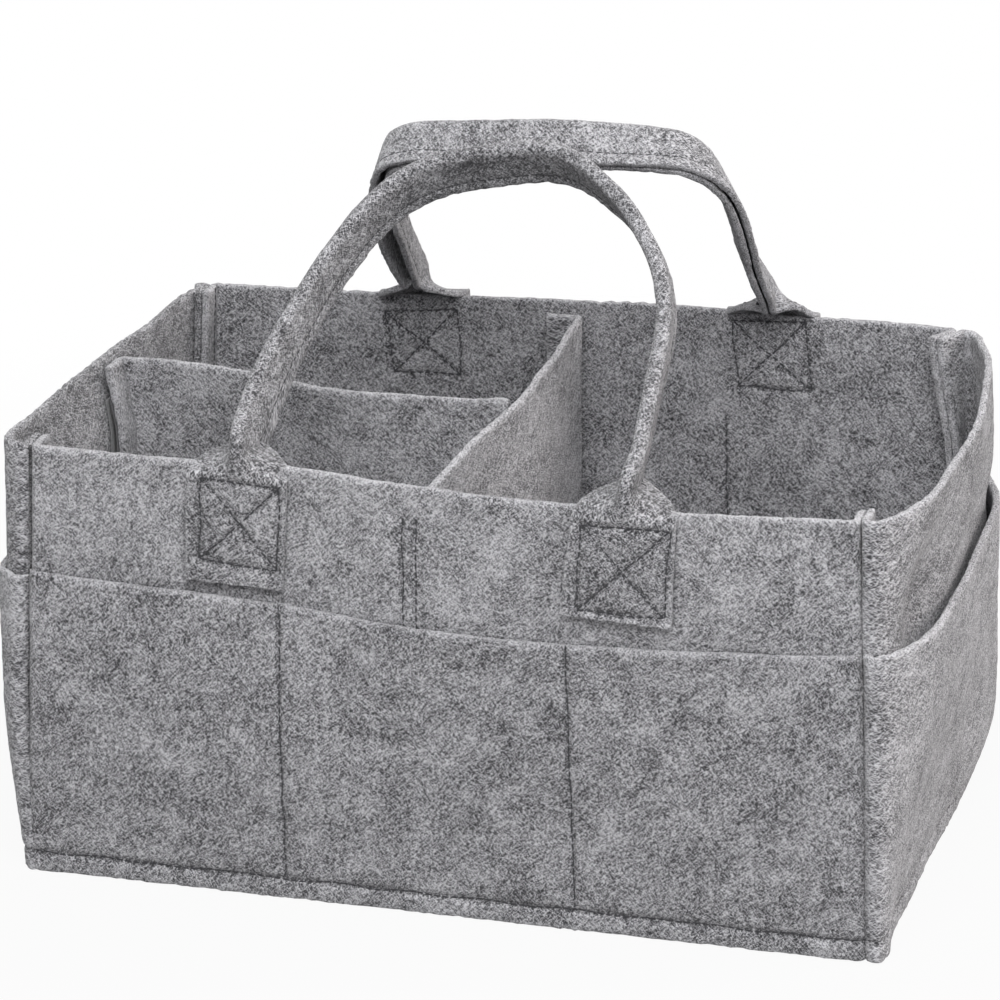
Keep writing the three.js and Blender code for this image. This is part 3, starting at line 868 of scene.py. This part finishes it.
# Straps: each is one strip, sewn flat on the wall at both ends and folded in half between
strap = {
    "width": 40.0,
    "foldGap": 0.5,
    "half": 1.4,  # pressed a little thinner than the panels
    "push": 1.6,  # how far the strip stands out where it begins to fold
    "tabLift": 0.9,  # how far the lower end stands off the wall
    "openGap": 0.3,  # between the open edges
    "seamInset": 5.0,
    "sink": 0.35,  # how far its edge seam sinks in
    # painted shade on the front strap's bends over the rim, and on its arch
    "domeShades": (0.10, 0.16),
    "archPaintedShade": 0.08,
}
handles = {
    # line: middle of the strip, across and up its leaning plane
    # bend: heights over which it starts to lean
    # flatRuns, foldRuns: where each end starts to fold and over what length
    # flares: widening of the sewn ends
    # tent: 1 where the fold begins at once, 0 where it begins gently
    "front": {
        "lean": 50.5, "seed": 170, "bend": (2.0, 16.0), "tent": 0.5, "wobble": 0.8, "pushFrom": -12.0,
        "flatRuns": (-5.0, -7.5), "foldRuns": (10.0, 10.0, 10.0),
        "flares": ((-0.08, 0.055), (-0.055, 0.25)),
        "line": [
            (-80, 0), (-80.3, 12), (-79.3, 30), (-75, 47.1), (-71.6, 62.7), (-68.3, 77), (-65.4, 89.5),
            (-61.2, 104.1), (-55.7, 120.3), (-48.4, 130.5), (-31.3, 143.5), (-17.4, 150), (-5.8, 153.4),
            (10.1, 155.6), (22.7, 153.7), (31.7, 149.2), (41.3, 141.8), (48.7, 134.8), (58.1, 121.2),
            (65.6, 107.8), (71.4, 90.1), (74, 65.1), (75.1, 42.5), (74.5, 24.6), (73.4, 11), (73, 0)],
        "roll": curveThrough([
            (0, 0), (0.06, -18), (0.14, -15), (0.22, -9), (0.3, -8), (0.42, -11), (0.52, -6), (0.6, 6),
            (0.68, 9), (0.74, 3), (0.8, -4), (0.9, -9), (0.97, -9), (1, 0)]),
        "splay": level,
    },
    "back": {
        "lean": 42.6, "seed": 190, "bend": (9.0, 25.0), "tent": 0.85, "wobble": 0.25, "pushFrom": -1.0,
        "flatRuns": (4.2, 1.4), "foldRuns": (16.0, 13.0, 9.0), "flares": ((0.0, 0.0), (0.0, 0.0)),
        "line": [
            (-85, 0), (-84.7, 12), (-82.6, 32), (-80.8, 47), (-80, 58), (-79.9, 69), (-79.2, 80),
            (-78.4, 91), (-77.4, 101.5), (-74.9, 114.5), (-70, 126.2), (-63.2, 132.4), (-52, 134.4),
            (-28.9, 133.6), (-4, 132.8), (13, 131.6), (34.3, 128.2), (51.4, 124), (60, 118), (66.8, 101),
            (70.2, 80), (71, 57), (70.2, 37), (69, 17), (68, 0)],
        "roll": curveThrough([
            (0, 4), (0.06, 16), (0.12, 25), (0.2, 29), (0.29, 32), (0.4, 3), (0.5, 0), (0.64, 0), (0.72, 2),
            (0.86, 0), (1, -4)]),
        "splay": curveThrough([
            (0, 0.2), (0.12, 0.3), (0.3, 0.4), (0.4, 0), (0.62, 0), (0.75, 3), (0.86, 6), (0.93, 3),
            (0.97, 0), (1, 0)]),
    },
}
hinge = {"y": frontFace - seat - felt, "z": wallHeight + 0.6, "bendRun": 18.0, "tilt": 45.0}


class StrapShape:
    # maps (along, across, above) of a strip to its place on the front wall
    def __init__(self, side):
        self.side = side
        self.look = handles[side]
        self.below = hinge["z"] - sides[side]["tabBottom"]
        corners = np.array(self.look["line"], float)
        chord = runAlong(corners)
        curves = [curveThrough(np.column_stack([chord, corners[:, axis]])) for axis in (0, 1)]
        line = np.stack([curve(np.linspace(0, chord[-1], 4001)) for curve in curves], -1)
        run = runAlong(line)
        self.length = run[-1]
        self.ruler = np.linspace(0, self.length, 1200)
        self.line = placesOn(line, run, self.ruler)
        gap = strap["foldGap"]
        self.crease = (felt + gap) / 2 * math.pi / 2
        straight = strap["width"] / 2 - self.crease
        share = self.ruler / self.length
        opened = strap["openGap"] + self.look["splay"](share)
        self.folded = math.pi / 2 + np.arcsin((gap - opened) / 2 / straight)
        self.roll = np.radians(self.look["roll"](share))
        lean = math.radians(self.look["lean"])
        self.bendRuler = np.linspace(-60, 180, 2401)
        self.bendAngle = lean * smooth(self.bendRuler, *self.look["bend"])
        step = self.bendRuler[1] - self.bendRuler[0]
        zero = np.searchsorted(self.bendRuler, 0)
        self.bendY = np.cumsum(np.sin(self.bendAngle)) * step
        self.bendZ = np.cumsum(np.cos(self.bendAngle)) * step
        self.bendY -= self.bendY[zero]
        self.bendZ -= self.bendZ[zero]

    def centre(self, along):
        # middle line of the strip laid out flat, with its direction
        inside = np.clip(along, 0, self.length)
        place = placesOn(self.line, self.ruler, inside)
        heading = placesOn(np.gradient(self.line, self.ruler, axis=0), self.ruler, inside)
        heading /= np.linalg.norm(heading, axis=-1, keepdims=True)
        tilts = np.radians(sides[self.side]["tilt"])
        past = np.maximum(0, along - self.length)
        short = np.minimum(0, along)
        turn = tilts[0] * smooth(-along, -6, 4) + tilts[1] * smooth(along - self.length, -6, 4)
        place = place + joined(short * math.sin(tilts[0]) - past * math.sin(tilts[1]),
                               short * math.cos(tilts[0]) - past * math.cos(tilts[1]))
        turned = joined(heading[..., 0] * np.cos(turn) + heading[..., 1] * np.sin(turn),
                        heading[..., 1] * np.cos(turn) - heading[..., 0] * np.sin(turn))
        return place, turned

    def at(self, along, across, above):
        along, across, above = np.broadcast_arrays(along, across, above)
        place, heading = self.centre(along)
        fromEnd = np.minimum(along, self.length - along)
        distance = np.abs(across)
        firstHalf = along < self.length / 2
        outer, inner, last = self.look["foldRuns"]
        foldRun = np.where(firstHalf, np.where(across > 0, outer, inner), last)
        start = np.where(firstHalf, *self.look["flatRuns"])
        share = np.clip((fromEnd - start) / foldRun, 0, 1)
        fold = lerp(smooth(share, 0, 1), np.arccos(1 - share) * 2 / math.pi, self.look["tent"])
        fold = fold * np.interp(along, self.ruler, self.folded)
        flare = np.where(firstHalf, *(np.where(across > 0, *pair) for pair in self.look["flares"]))
        fold = np.maximum(fold, 1e-4)
        bent = np.minimum(distance, self.crease)
        radius = self.crease / fold
        angle = bent / radius
        straight = distance - bent
        reach = radius * np.sin(angle) + straight * np.cos(angle) + above * np.sin(angle)
        depth = radius * (1 - np.cos(angle)) + straight * np.sin(angle) - above * np.cos(angle)
        seed = self.look["seed"]
        wobble = self.look["wobble"] * smooth(fromEnd, 2, 40)
        strip = joined(along, 0.0)
        reach = reach * np.sign(across) * (1 + flare * np.clip(-fromEnd / self.below, 0, 1))
        push = strap["push"] * smooth(fromEnd, self.look["pushFrom"], 0) * (1 - smooth(fromEnd, 6, 28))
        lift = strap["tabLift"] * (1 - smooth(fromEnd + self.below, 0, 5.5)) ** 2
        depth = depth + felt / 2 - push - lift
        roll = np.interp(along, self.ruler, self.roll) * smooth(fromEnd, 0, 26)
        pivot = strap["width"] / 4
        reach, depth = (
            reach * np.cos(roll) + (depth - pivot) * np.sin(roll) + wobble * waves(strip, 75, seed),
            pivot + (depth - pivot) * np.cos(roll) - reach * np.sin(roll)
            + wobble * waves(strip, 90, seed + 1),
        )
        flatX = place[..., 0] - heading[..., 1] * reach
        flatZ = place[..., 1] + heading[..., 0] * reach
        bendY = np.interp(flatZ, self.bendRuler, self.bendY)
        bendZ = np.interp(flatZ, self.bendRuler, self.bendZ)
        lean = np.interp(flatZ, self.bendRuler, self.bendAngle)
        y = hinge["y"] + bendY + np.cos(lean) * depth
        z = hinge["z"] + bendZ - np.sin(lean) * depth
        y = y - bulge(self.side, flatX, np.minimum(z, wallHeight)) * (1 - smooth(z, 178, 192))
        return joined(flatX, y, z)


def strapStrip(shape):
    setting = sides[shape.side]
    low = -shape.below
    high = shape.length + shape.below
    marks = [z - hinge["z"] for x, z in setting["boxes"][0]]
    marks += [shape.length + hinge["z"] - z for x, z in setting["boxes"][1]]
    marks += [4, 12, 20, shape.length - 4, shape.length - 12, shape.length - 20]
    along = stations(low, high, 1.9, marks, fine=1.0, reach=4)
    half = strap["width"] / 2
    seam = half - strap["seamInset"]
    across = stations(-half, half, 1.5, [0, 3, -3, seam, -seam], fine=0.75, reach=2.2)[::-1]
    middle = shape.at(along[:, None], across[None, :], 0.0)
    fromEnd = np.minimum(along, shape.length - along)
    sewn = 0.4 * smooth(fromEnd, 8, 22)[:, None] * np.exp(-((np.abs(across) - seam) / 1.2) ** 2)[None, :]
    lines = tabBoxLines(shape.side, 0) + tabBoxLines(shape.side, 1)
    onTab = nearLines(middle[..., 0], middle[..., 2], lines) * (fromEnd < 4)[:, None]
    rise = runAlong(middle)
    longer = rise - rise[:, len(across) // 2][:, None]
    longer = np.where(along[:, None] < shape.length / 2, longer, longer - longer[-1])
    weave = longer * (1 - smooth(fromEnd, 14, 110))[:, None]
    # painted shade: the front strap is painted darker where it bends over the rim, and on its arch
    share = along / shape.length
    dome = smooth(fromEnd, -9, -2) * (1 - smooth(fromEnd, 4, 16))
    dome = dome * np.where(share < 0.5, *strap["domeShades"])
    arch = smooth(share, 0.24, 0.34) * (1 - smooth(share, 0.6, 0.7)) * strap["archPaintedShade"]
    paintedDarkening = (dome + arch) * (shape.side == "front")
    shade = shades[shape.side + "_handle"] - paintedDarkening[:, None] + 0 * weave
    return middle, np.maximum(sewn, onTab), weave, shade


straps = {}
for side in ("front", "back"):
    shape = StrapShape(side)
    straps[side] = shape
    middle, press, weave, shade = strapStrip(shape)
    keepSheet(f"{side}_handle", middle, handles[side]["seed"], side == "back", press=press,
              sink=strap["sink"], half=strap["half"], weave=weave, shade=shade)
print("straps made")

# Dividers: their end flaps hold the hook tapes
divider = {
    "bottom": 9.3, "top": 177.0, "flap": 16.0, "crossX": -2.0, "longY": 0.0, "wave": 0.6,
    "tapeStack": 3.3,  # two tapes and their gaps
    "leftSkew": 5.0,
    "endShift": 5.6,  # how far the sagging wall moves the long one's left end
    "flapDrop": 14.0,  # slope of the long one's right flap, at the top
    "flapPaintedShade": 0.16,  # painted shade: how much darker the cross one's back flap is painted
}


def dividerSheet(start, end, drop, seed):
    # channel panel with its flaps towards +y, ends given by height
    shares = faceShares(0, 200, 2.6, [])
    rows = []
    for z in stations(divider["bottom"], divider["top"], 2.6):
        line = channelLine(start(z), end(z), divider["flap"], shares)
        share = (line[:, 0] - line[:, 0].min()) / np.ptp(line[:, 0])
        calm = np.sin(math.pi * share) ** 0.7
        uneven = divider["wave"] * calm * waves(joined(line[:, 0], z), 95, seed)
        height = z + drop(share) * (z / wallHeight) ** 3
        rows.append(joined(line[:, 0], line[:, 1] + uneven, height))
    return np.array(rows)


def innerEnd(z):
    return foldX(z) + risen("baseRoom", "rimRoom", z)


def pushed(points, amounts, axis, low, high):
    # the end of a divider follows the unevenness of the wall it is fixed to
    share = smooth(np.abs(points[..., axis]), low, high)
    points[..., axis] += amounts * share
    return points


# the cross divider is bent to the right by the end of the long one, at all heights
crossBow = curveThrough([
    (-112, -5), (-66, -0.6), (-25, 3.2), (-3, 5.4), (13, 7.0), (42, 6.2), (80, 4.6), (112, 5.5)])


def endShift(z):
    return divider["endShift"] * (1 - smooth(z, 146, 184))


def onLeftEnd(y, z):
    return endShift(z) - bulge("left", -y, z)


def crossDivider():
    reach = -frontFace - felt - divider["tapeStack"]
    drop = curveThrough([(0, -2.2), (0.2, 0.4), (0.6, 0.6), (0.9, 1.2), (1, 3)])
    local = dividerSheet(lambda z: -reach, lambda z: reach, drop, 31)
    x = divider["crossX"] + felt / 2 - local[..., 1] + crossBow(local[..., 0])
    points = joined(x, local[..., 0], local[..., 2])
    front = -bulge("front", x, points[..., 2]) * (points[..., 1] < 0)
    back = bulge("back", -x, points[..., 2]) * (points[..., 1] > 0)
    return pushed(points, front + back, 1, 30, 100)


def longDivider():
    right = divider["crossX"] - felt / 2 - divider["tapeStack"]
    drop = curveThrough([(0, 0), (0.08, -1.8), (0.2, -2), (0.45, -2), (0.63, 1.2), (0.88, 2.9), (1, 2.4)])
    local = dividerSheet(lambda z: -right, lambda z: innerEnd(z) - divider["tapeStack"], drop, 32)
    onFlap = smooth(local[..., 1], 1.8, 9) * (local[..., 0] < 60)
    local[..., 2] -= divider["flapDrop"] * onFlap * smooth(local[..., 2], 60, 170)
    points = joined(-local[..., 0], divider["longY"] + felt / 2 - local[..., 1], local[..., 2])
    points[..., 1] += divider["leftSkew"] * smooth(-points[..., 0], 60, 165)
    points[..., 0] += crossBow(points[..., 1]) * (1 - smooth(-points[..., 0], 8, 60))
    return pushed(points, onLeftEnd(points[..., 1], points[..., 2]), 0, 60, 165)


crossMiddle = crossDivider()
# painted shade on the cross divider's back flap, on top of the panel's painted light
crossPaintedShading = shades["cross_divider"] - divider["flapPaintedShade"] * smooth(crossMiddle[..., 1], 98, 105)
keepSheet("cross_divider", crossMiddle, 210, combed=0.5, shade=crossPaintedShading)
keepSheet("long_divider", longDivider(), 220)
print("dividers made")

# Fastening tapes on the flaps and walls
tapes = {}
thin = tape["thickness"]
firstTape = seat + thin / 2  # middle of the tape next to a face
secondTape = 2 * seat + 1.5 * thin


def tapeStrip(name, place, seed, material):
    # thin strip from its bottom to its top, place gives (x, y) from across and height
    across = stations(-tape["width"] / 2, tape["width"] / 2, 0.8)
    rows = []
    for z in stations(tape["bottom"], tape["top"], 2.5):
        rows.append(joined(*place(across, z), z))
    tapes[name], flat = clothSheet(name, np.array(rows), seed, half=thin / 2, material=material, rough=0.06)
    sheetSizes[name] = (max(flat[0], tape["width"] * mm), flat[1])


def longWallTape(side, gap):
    # on a long wall at the cross divider's flap, gap measured in from the wall's inner face
    sign = -1 if side == "front" else 1

    def place(across, z):
        x = tape["places"][side] + across
        y = -frontFace - felt - gap - thin / 2
        return x, sign * (y + bulge(side, -sign * x, z))

    return place


def sideTape(faceX, follow):
    # across the long divider's end, faceX before the shift that follow gives
    middleY = divider["longY"] + felt / 2 - (caddy["foldRoom"] + divider["flap"]) / 2

    def place(across, z):
        y = middleY + across + (0 if follow is onCross else divider["leftSkew"])
        return faceX(z) + follow(y, z), y

    return place


def onCross(y, z):
    return crossBow(y)


def onLeftWall(y, z):
    return sagged(y, z) - bulge("left", -y, z)


crossFace = divider["crossX"] - felt / 2
tapeSpots = {
    "front_wall_loop_tape": (longWallTape("front", seat), loopTape, "root"),
    "back_wall_loop_tape": (longWallTape("back", seat), loopTape, "root"),
    "cross_divider_front_hook_tape": (longWallTape("front", 2 * seat + thin), hookTape, "cross_divider"),
    "cross_divider_back_hook_tape": (longWallTape("back", 2 * seat + thin), hookTape, "cross_divider"),
    "left_wall_loop_tape": (
        sideTape(lambda z: -innerEnd(z) + firstTape, onLeftWall), loopTape, "root"),
    "long_divider_left_hook_tape": (
        sideTape(lambda z: -innerEnd(z) + secondTape, onLeftEnd), hookTape, "long_divider"),
    "cross_divider_loop_tape": (
        sideTape(lambda z: crossFace - firstTape, onCross), loopTape, "cross_divider"),
    "long_divider_right_hook_tape": (
        sideTape(lambda z: crossFace - secondTape, onCross), hookTape, "long_divider"),
}
for count, (name, (place, material, body)) in enumerate(tapeSpots.items()):
    tapeStrip(name, place, 240 + count, material)
print("tapes made")

# Sewing: stitches follow lines laid on the finished felt
stitch = {"pitch": 3.45, "length": 3.0, "radius": 0.38, "strapSink": 0.16, "inset": 1.5, "wobble": 0.22}


def stitchTree():
    tree = bpy.data.node_groups.new("sewnLine", "GeometryNodeTree")

    def socket(name, way, kind):
        return tree.interface.new_socket(name, in_out=way, socket_type="NodeSocket" + kind).identifier

    socket("Line", "INPUT", "Geometry")
    sizes = {name: socket(name.capitalize(), "INPUT", "Float") for name in ("pitch", "length", "radius")}
    socket("Stitches", "OUTPUT", "Geometry")
    source = addNode(tree, "NodeGroupInput")
    points = addNode(tree, "GeometryNodeCurveToPoints", {"mode": "LENGTH"}, {
        "Curve": Wire(source, "Line"), "Length": Wire(source, "Pitch")})
    ball = addNode(tree, "GeometryNodeMeshUVSphere", None, {"Segments": 8, "Rings": 6, "Radius": 1.0})
    half = addNode(tree, "ShaderNodeMath", {"operation": "MULTIPLY"}, {0: Wire(source, "Length"), 1: 0.5})
    size = addNode(tree, "ShaderNodeCombineXYZ", None, {
        "X": Wire(source, "Radius"), "Y": Wire(source, "Radius"), "Z": Wire(half)})
    one = addNode(tree, "GeometryNodeTransform", None, {
        "Geometry": Wire(ball, "Mesh"), "Scale": Wire(size)})
    vary = addNode(tree, "FunctionNodeRandomValue", {"data_type": "FLOAT_VECTOR"}, {
        0: (0.85, 0.85, 0.88), 1: (1.15, 1.15, 1.08), "Seed": 5})
    copies = addNode(tree, "GeometryNodeInstanceOnPoints", None, {
        "Points": Wire(points, "Points"), "Instance": Wire(one, "Geometry"),
        "Rotation": Wire(points, "Rotation"), "Scale": Wire(vary, 0)})
    real = addNode(tree, "GeometryNodeRealizeInstances", None, {"Geometry": Wire(copies, "Instances")})
    rounded = addNode(tree, "GeometryNodeSetShadeSmooth", None, {0: Wire(real, "Geometry")})
    coloured = addNode(tree, "GeometryNodeSetMaterial", None, {
        "Geometry": Wire(rounded), "Material": threadDark})
    end = addNode(tree, "NodeGroupOutput")
    tree.links.new(coloured.outputs[0], end.inputs[0])
    return tree, sizes


sewnLine, sewnInputs = stitchTree()


def sewPiece(name, lines):
    # one mesh of stitches along several lines of points, in millimetres
    curve = bpy.data.curves.new(name + "Line", "CURVE")
    curve.dimensions = "3D"
    for line in lines:
        spline = curve.splines.new("POLY")
        spline.points.add(len(line) - 1)
        flat = np.column_stack([np.asarray(line) * mm, np.ones(len(line))])
        spline.points.foreach_set("co", flat.astype(np.float32).ravel())
    route = bpy.data.objects.new(name + "Line", curve)
    bpy.context.scene.collection.objects.link(route)
    modifier = route.modifiers.new("stitches", "NODES")
    modifier.node_group = sewnLine
    for key, identifier in sewnInputs.items():
        modifier[identifier] = stitch[key] * mm
    ready = route.evaluated_get(bpy.context.evaluated_depsgraph_get())
    mesh = bpy.data.meshes.new_from_object(ready)
    mesh.name = name
    if not mesh.materials:
        mesh.materials.append(threadDark)
    piece = bpy.data.objects.new(name, mesh)
    bpy.context.scene.collection.objects.link(piece)
    bpy.data.objects.remove(route)
    return piece


def surfaceOf(*names):
    points, faces = [], []
    for name in names:
        mesh = felts[name].data
        first = len(points)
        points += [vertex.co.copy() for vertex in mesh.vertices]
        faces += [[first + index for index in polygon.vertices] for polygon in mesh.polygons]
    return BVHTree.FromPolygons(points, faces)


def laidOn(tree, far, heading, lift=0.0):
    # points dropped from far along heading onto the felt, lifted a little above it
    found = []
    for start, direction in zip(np.asarray(far), np.broadcast_to(heading, np.shape(far))):
        way = Vector(direction).normalized()
        hit = tree.ray_cast(Vector(start) * mm, way)[0]
        if hit is not None:
            found.append(np.array(hit) / mm - np.array(way) * lift)
    return np.array(found)


def between(first, last, step=1.2):
    first, last = np.array(first, float), np.array(last, float)
    count = max(2, int(np.linalg.norm(last - first) / step) + 1)
    return lerp(first, last, np.linspace(0, 1, count)[:, None])


def inset(first, last):
    # between two corners, so that the end stitches begin at them
    first, last = np.array(first, float), np.array(last, float)
    step = (last - first) / np.linalg.norm(last - first) * stitch["inset"]
    return between(first + step, last - step)


def wobbly(line, seed):
    # a hand-guided seam is never quite straight
    return line + stitch["wobble"] * joined(waves(line, 24, seed), waves(line, 31, seed + 1))


def facing(side, *points):
    # both long sides are worked out at the front, the back one is then turned round
    return [turnedRound(part) if side == "back" else part for part in points]


def onLongSide(side, tree, flatLine, outside):
    # a line in (x, z) of one long side, laid on its outer or inner face
    flatLine = wobbly(flatLine, int(abs(flatLine).sum()) % 97)
    depth = -160.0 if outside else frontFace + 30.0
    far = joined(flatLine[:, 0], depth, flatLine[:, 1])
    return laidOn(tree, *facing(side, far, np.array([0.0, 1.0 if outside else -1.0, 0.0])))


stitches = {}
names = {"front": ("left", "right"), "back": ("right", "left")}
for side in ("front", "back"):
    wall, pocket, handle = (surfaceOf(f"{side}_{part}") for part in ("wall", "pocket", "handle"))
    for index, place in enumerate(names[side]):
        sewn = [inset(*line) for line in tabBoxLines(side, index)]
        lines = [onLongSide(side, handle, line, True) for line in sewn]
        lines += [onLongSide(side, wall, line, False) for line in sewn]
        stitches[f"{side}_{place}_box_stitch"] = (lines, "root")
        seam = between(*splitLines(side)[index])
        stitches[f"{side}_{place}_pocket_stitch"] = (
            [onLongSide(side, pocket, seam, True), onLongSide(side, wall, seam, False)], "root")
        edge = 1 if index else -1
        rise = np.linspace(11, 178, 140)
        far = joined(edge * 120, frontFace + 5.2, rise)
        seam = laidOn(wall, *facing(side, far, np.array([edge, 0.0, 0.0])))
        stitches[f"{side}_{place}_corner_stitch"] = ([seam], "root")
    lines = [onLongSide(side, wall, inset(*line), True) for line in tapeLines(side)]
    stitches[f"{side}_wall_tape_stitch"] = (lines, "root")

    shape = straps[side]
    along = np.linspace(12, shape.length - 12, 420)
    lines = []
    for sign in (1, -1):
        across = sign * (strap["width"] / 2 - strap["seamInset"])
        near, far = facing(side, shape.at(along, across, 0.0), shape.at(along, across, 5.0))
        lines.append(laidOn(handle, far, near - far, -stitch["strapSink"]))
    stitches[f"{side}_handle_stitch"] = (lines, f"{side}_handle")

# hem seam all the way round
pockets = surfaceOf("front_pocket", "back_pocket", "left_pocket", "right_pocket")
hemRuns = []
for sign in (1, -1):
    x = np.linspace(-168, 168, 300)
    far = joined(x, -150, hem + 0.3 * waves(x[:, None], 40, 61))
    y = np.linspace(-100, 100, 180)
    farEnd = joined(230, y, hem + 0.3 * waves(y[:, None], 40, 62))
    turn = np.array([sign, sign, 1.0])
    hemRuns.append(laidOn(pockets, far * turn, np.array([0, sign, 0.0])))
    hemRuns.append(laidOn(pockets, farEnd * turn, np.array([-sign, 0, 0.0])))
stitches["base_stitch"] = (hemRuns, "root")

for name, (lines, body) in stitches.items():
    piece = sewPiece(name.replace("stitch", "sewing"), [line for line in lines if len(line) > 1])
    dress(piece, body, "thread", name)
print("sewing made:", len(stitches), "pieces")

# What each piece rides on; the flat size of each sheet and what it rests on are worked out but not kept
for name, piece in felts.items():
    if name.endswith("_handle"):
        continue
    body = name if name.endswith("divider") else "root"
    dress(piece, body, "felt", name)
    piece.name = name + "_felt"
for side in ("front", "back"):
    piece = felts[f"{side}_handle"]
    piece.name = f"{side}_strap_felt"
    joint = next(j for j in frame["joints"] if j["child"] == f"{side}_handle")
    start = Vector(joint["pos_m"])
    # a point a short way from the joint, upwards and towards the inside
    inwards = 1 if side == "front" else -1
    tilt = math.radians(hinge["tilt"])
    end = start + Vector((0, inwards * math.sin(tilt), math.cos(tilt))) * hinge["bendRun"] * mm
    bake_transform(piece)
    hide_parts(f"{side}_handle", f"{side}_left_tab", f"{side}_right_tab")
for name, piece in tapes.items():
    dress(piece, tapeSpots[name][2], "tape", name)
    piece.name = name + "_woven"


def restsOn(name):
    side, part = name.split("_")
    if part in ("pocket", "handle"):
        return [f"{side}_wall_felt"]
    return ["front_wall_felt", "back_wall_felt"] if part == "panel" else ["base_panel_felt"]


for name, piece in felts.items():
    flat = sheetSizes[name]
    if name == "base_panel":
        # its plan and its turned-down edge
        flat = tuple(2 * (floorPanel[key] + caddy["floorTop"] - felt) * mm for key in ("halfX", "halfY"))
    restsOn(name)
for name, piece in tapes.items():
    body = tapeSpots[name][2]
    under = name.removesuffix("_loop_tape") if body == "root" else body
    under + "_felt"
print("pieces dressed")

# Stage: pale floor that keeps the shadow, white behind, soft light
stage = {
    "floorSize": 14.0,
    "floorLevel": -0.0003,
    "floorColour": (0.40, 0.40, 0.40, 1),
    "whiteShare": 0.93,
    "worldLight": 0.47,
    "lamps": [
        # name, place, size, power, colour
        ("keyLight", (0.3, -1.0, 1.4), 1.1, 28, (1, 1, 1)),
        ("sideLight", (2.3, 0.7, 1.4), 1.6, 36, (1, 0.93, 0.90)),
        ("topLight", (-0.2, 0.3, 2.6), 2.2, 8, (0.97, 0.98, 1)),
    ],
}


def seenDirectly(tree):
    path = addNode(tree, "ShaderNodeLightPath")
    rays = [Wire(path, name) for name in ("Is Camera Ray", "Is Glossy Ray", "Is Transmission Ray")]
    total = rays[0] + rays[1] + rays[2]
    return total.maths("MINIMUM", total, 1.0)


def makeStage():
    half = stage["floorSize"] / 2
    signs = ((-1, -1), (1, -1), (1, 1), (-1, 1))
    corners = [(x * half, y * half, stage["floorLevel"]) for x, y in signs]
    material, tree, output = newMaterial("paleFloor")
    plain = addNode(tree, "ShaderNodeBsdfDiffuse", None, {"Color": stage["floorColour"]})
    white = addNode(tree, "ShaderNodeEmission", None, {"Color": (1, 1, 1, 1), "Strength": 1.0})
    place = Wire(addNode(tree, "ShaderNodeTexCoord"), "Object")
    distance = Wire(addNode(tree, "ShaderNodeVectorMath", {"operation": "LENGTH"}, {0: place}), "Value")
    share = stage["whiteShare"] + (1 - stage["whiteShare"]) * distance.between(0.25, 0.7)
    mixed = addNode(tree, "ShaderNodeMixShader", None, {
        0: seenDirectly(tree) * share, 1: Wire(plain), 2: Wire(white)})
    tree.links.new(mixed.outputs[0], output.inputs[0])
    floor = newPiece("studioFloor", corners, [(0, 1, 2, 3)], material)

    world = bpy.data.worlds.new("softStudio")
    bpy.context.scene.world = world
    world.use_nodes = True
    tree = world.node_tree
    tree.nodes.clear()
    glow = addNode(tree, "ShaderNodeBackground", None, {
        "Color": (1, 1, 1, 1), "Strength": stage["worldLight"]})
    plainWhite = addNode(tree, "ShaderNodeBackground", None, {"Color": (1, 1, 1, 1), "Strength": 1.0})
    mixed = addNode(tree, "ShaderNodeMixShader", None, {
        0: seenDirectly(tree), 1: Wire(glow), 2: Wire(plainWhite)})
    end = addNode(tree, "ShaderNodeOutputWorld")
    tree.links.new(mixed.outputs[0], end.inputs[0])

    target = Vector((0, 0, 0.1))
    for name, place, size, power, colour in stage["lamps"]:
        light = bpy.data.lights.new(name, "AREA")
        light.shape = "SQUARE"
        light.size = size
        light.energy = power
        light.color = colour
        holder = bpy.data.objects.new(name, light)
        holder.location = place
        holder.rotation_euler = (target - Vector(place)).to_track_quat("-Z", "Y").to_euler()
        bpy.context.scene.collection.objects.link(holder)


makeStage()
bpy.context.scene.view_settings.view_transform = "Standard"
print("stage made")
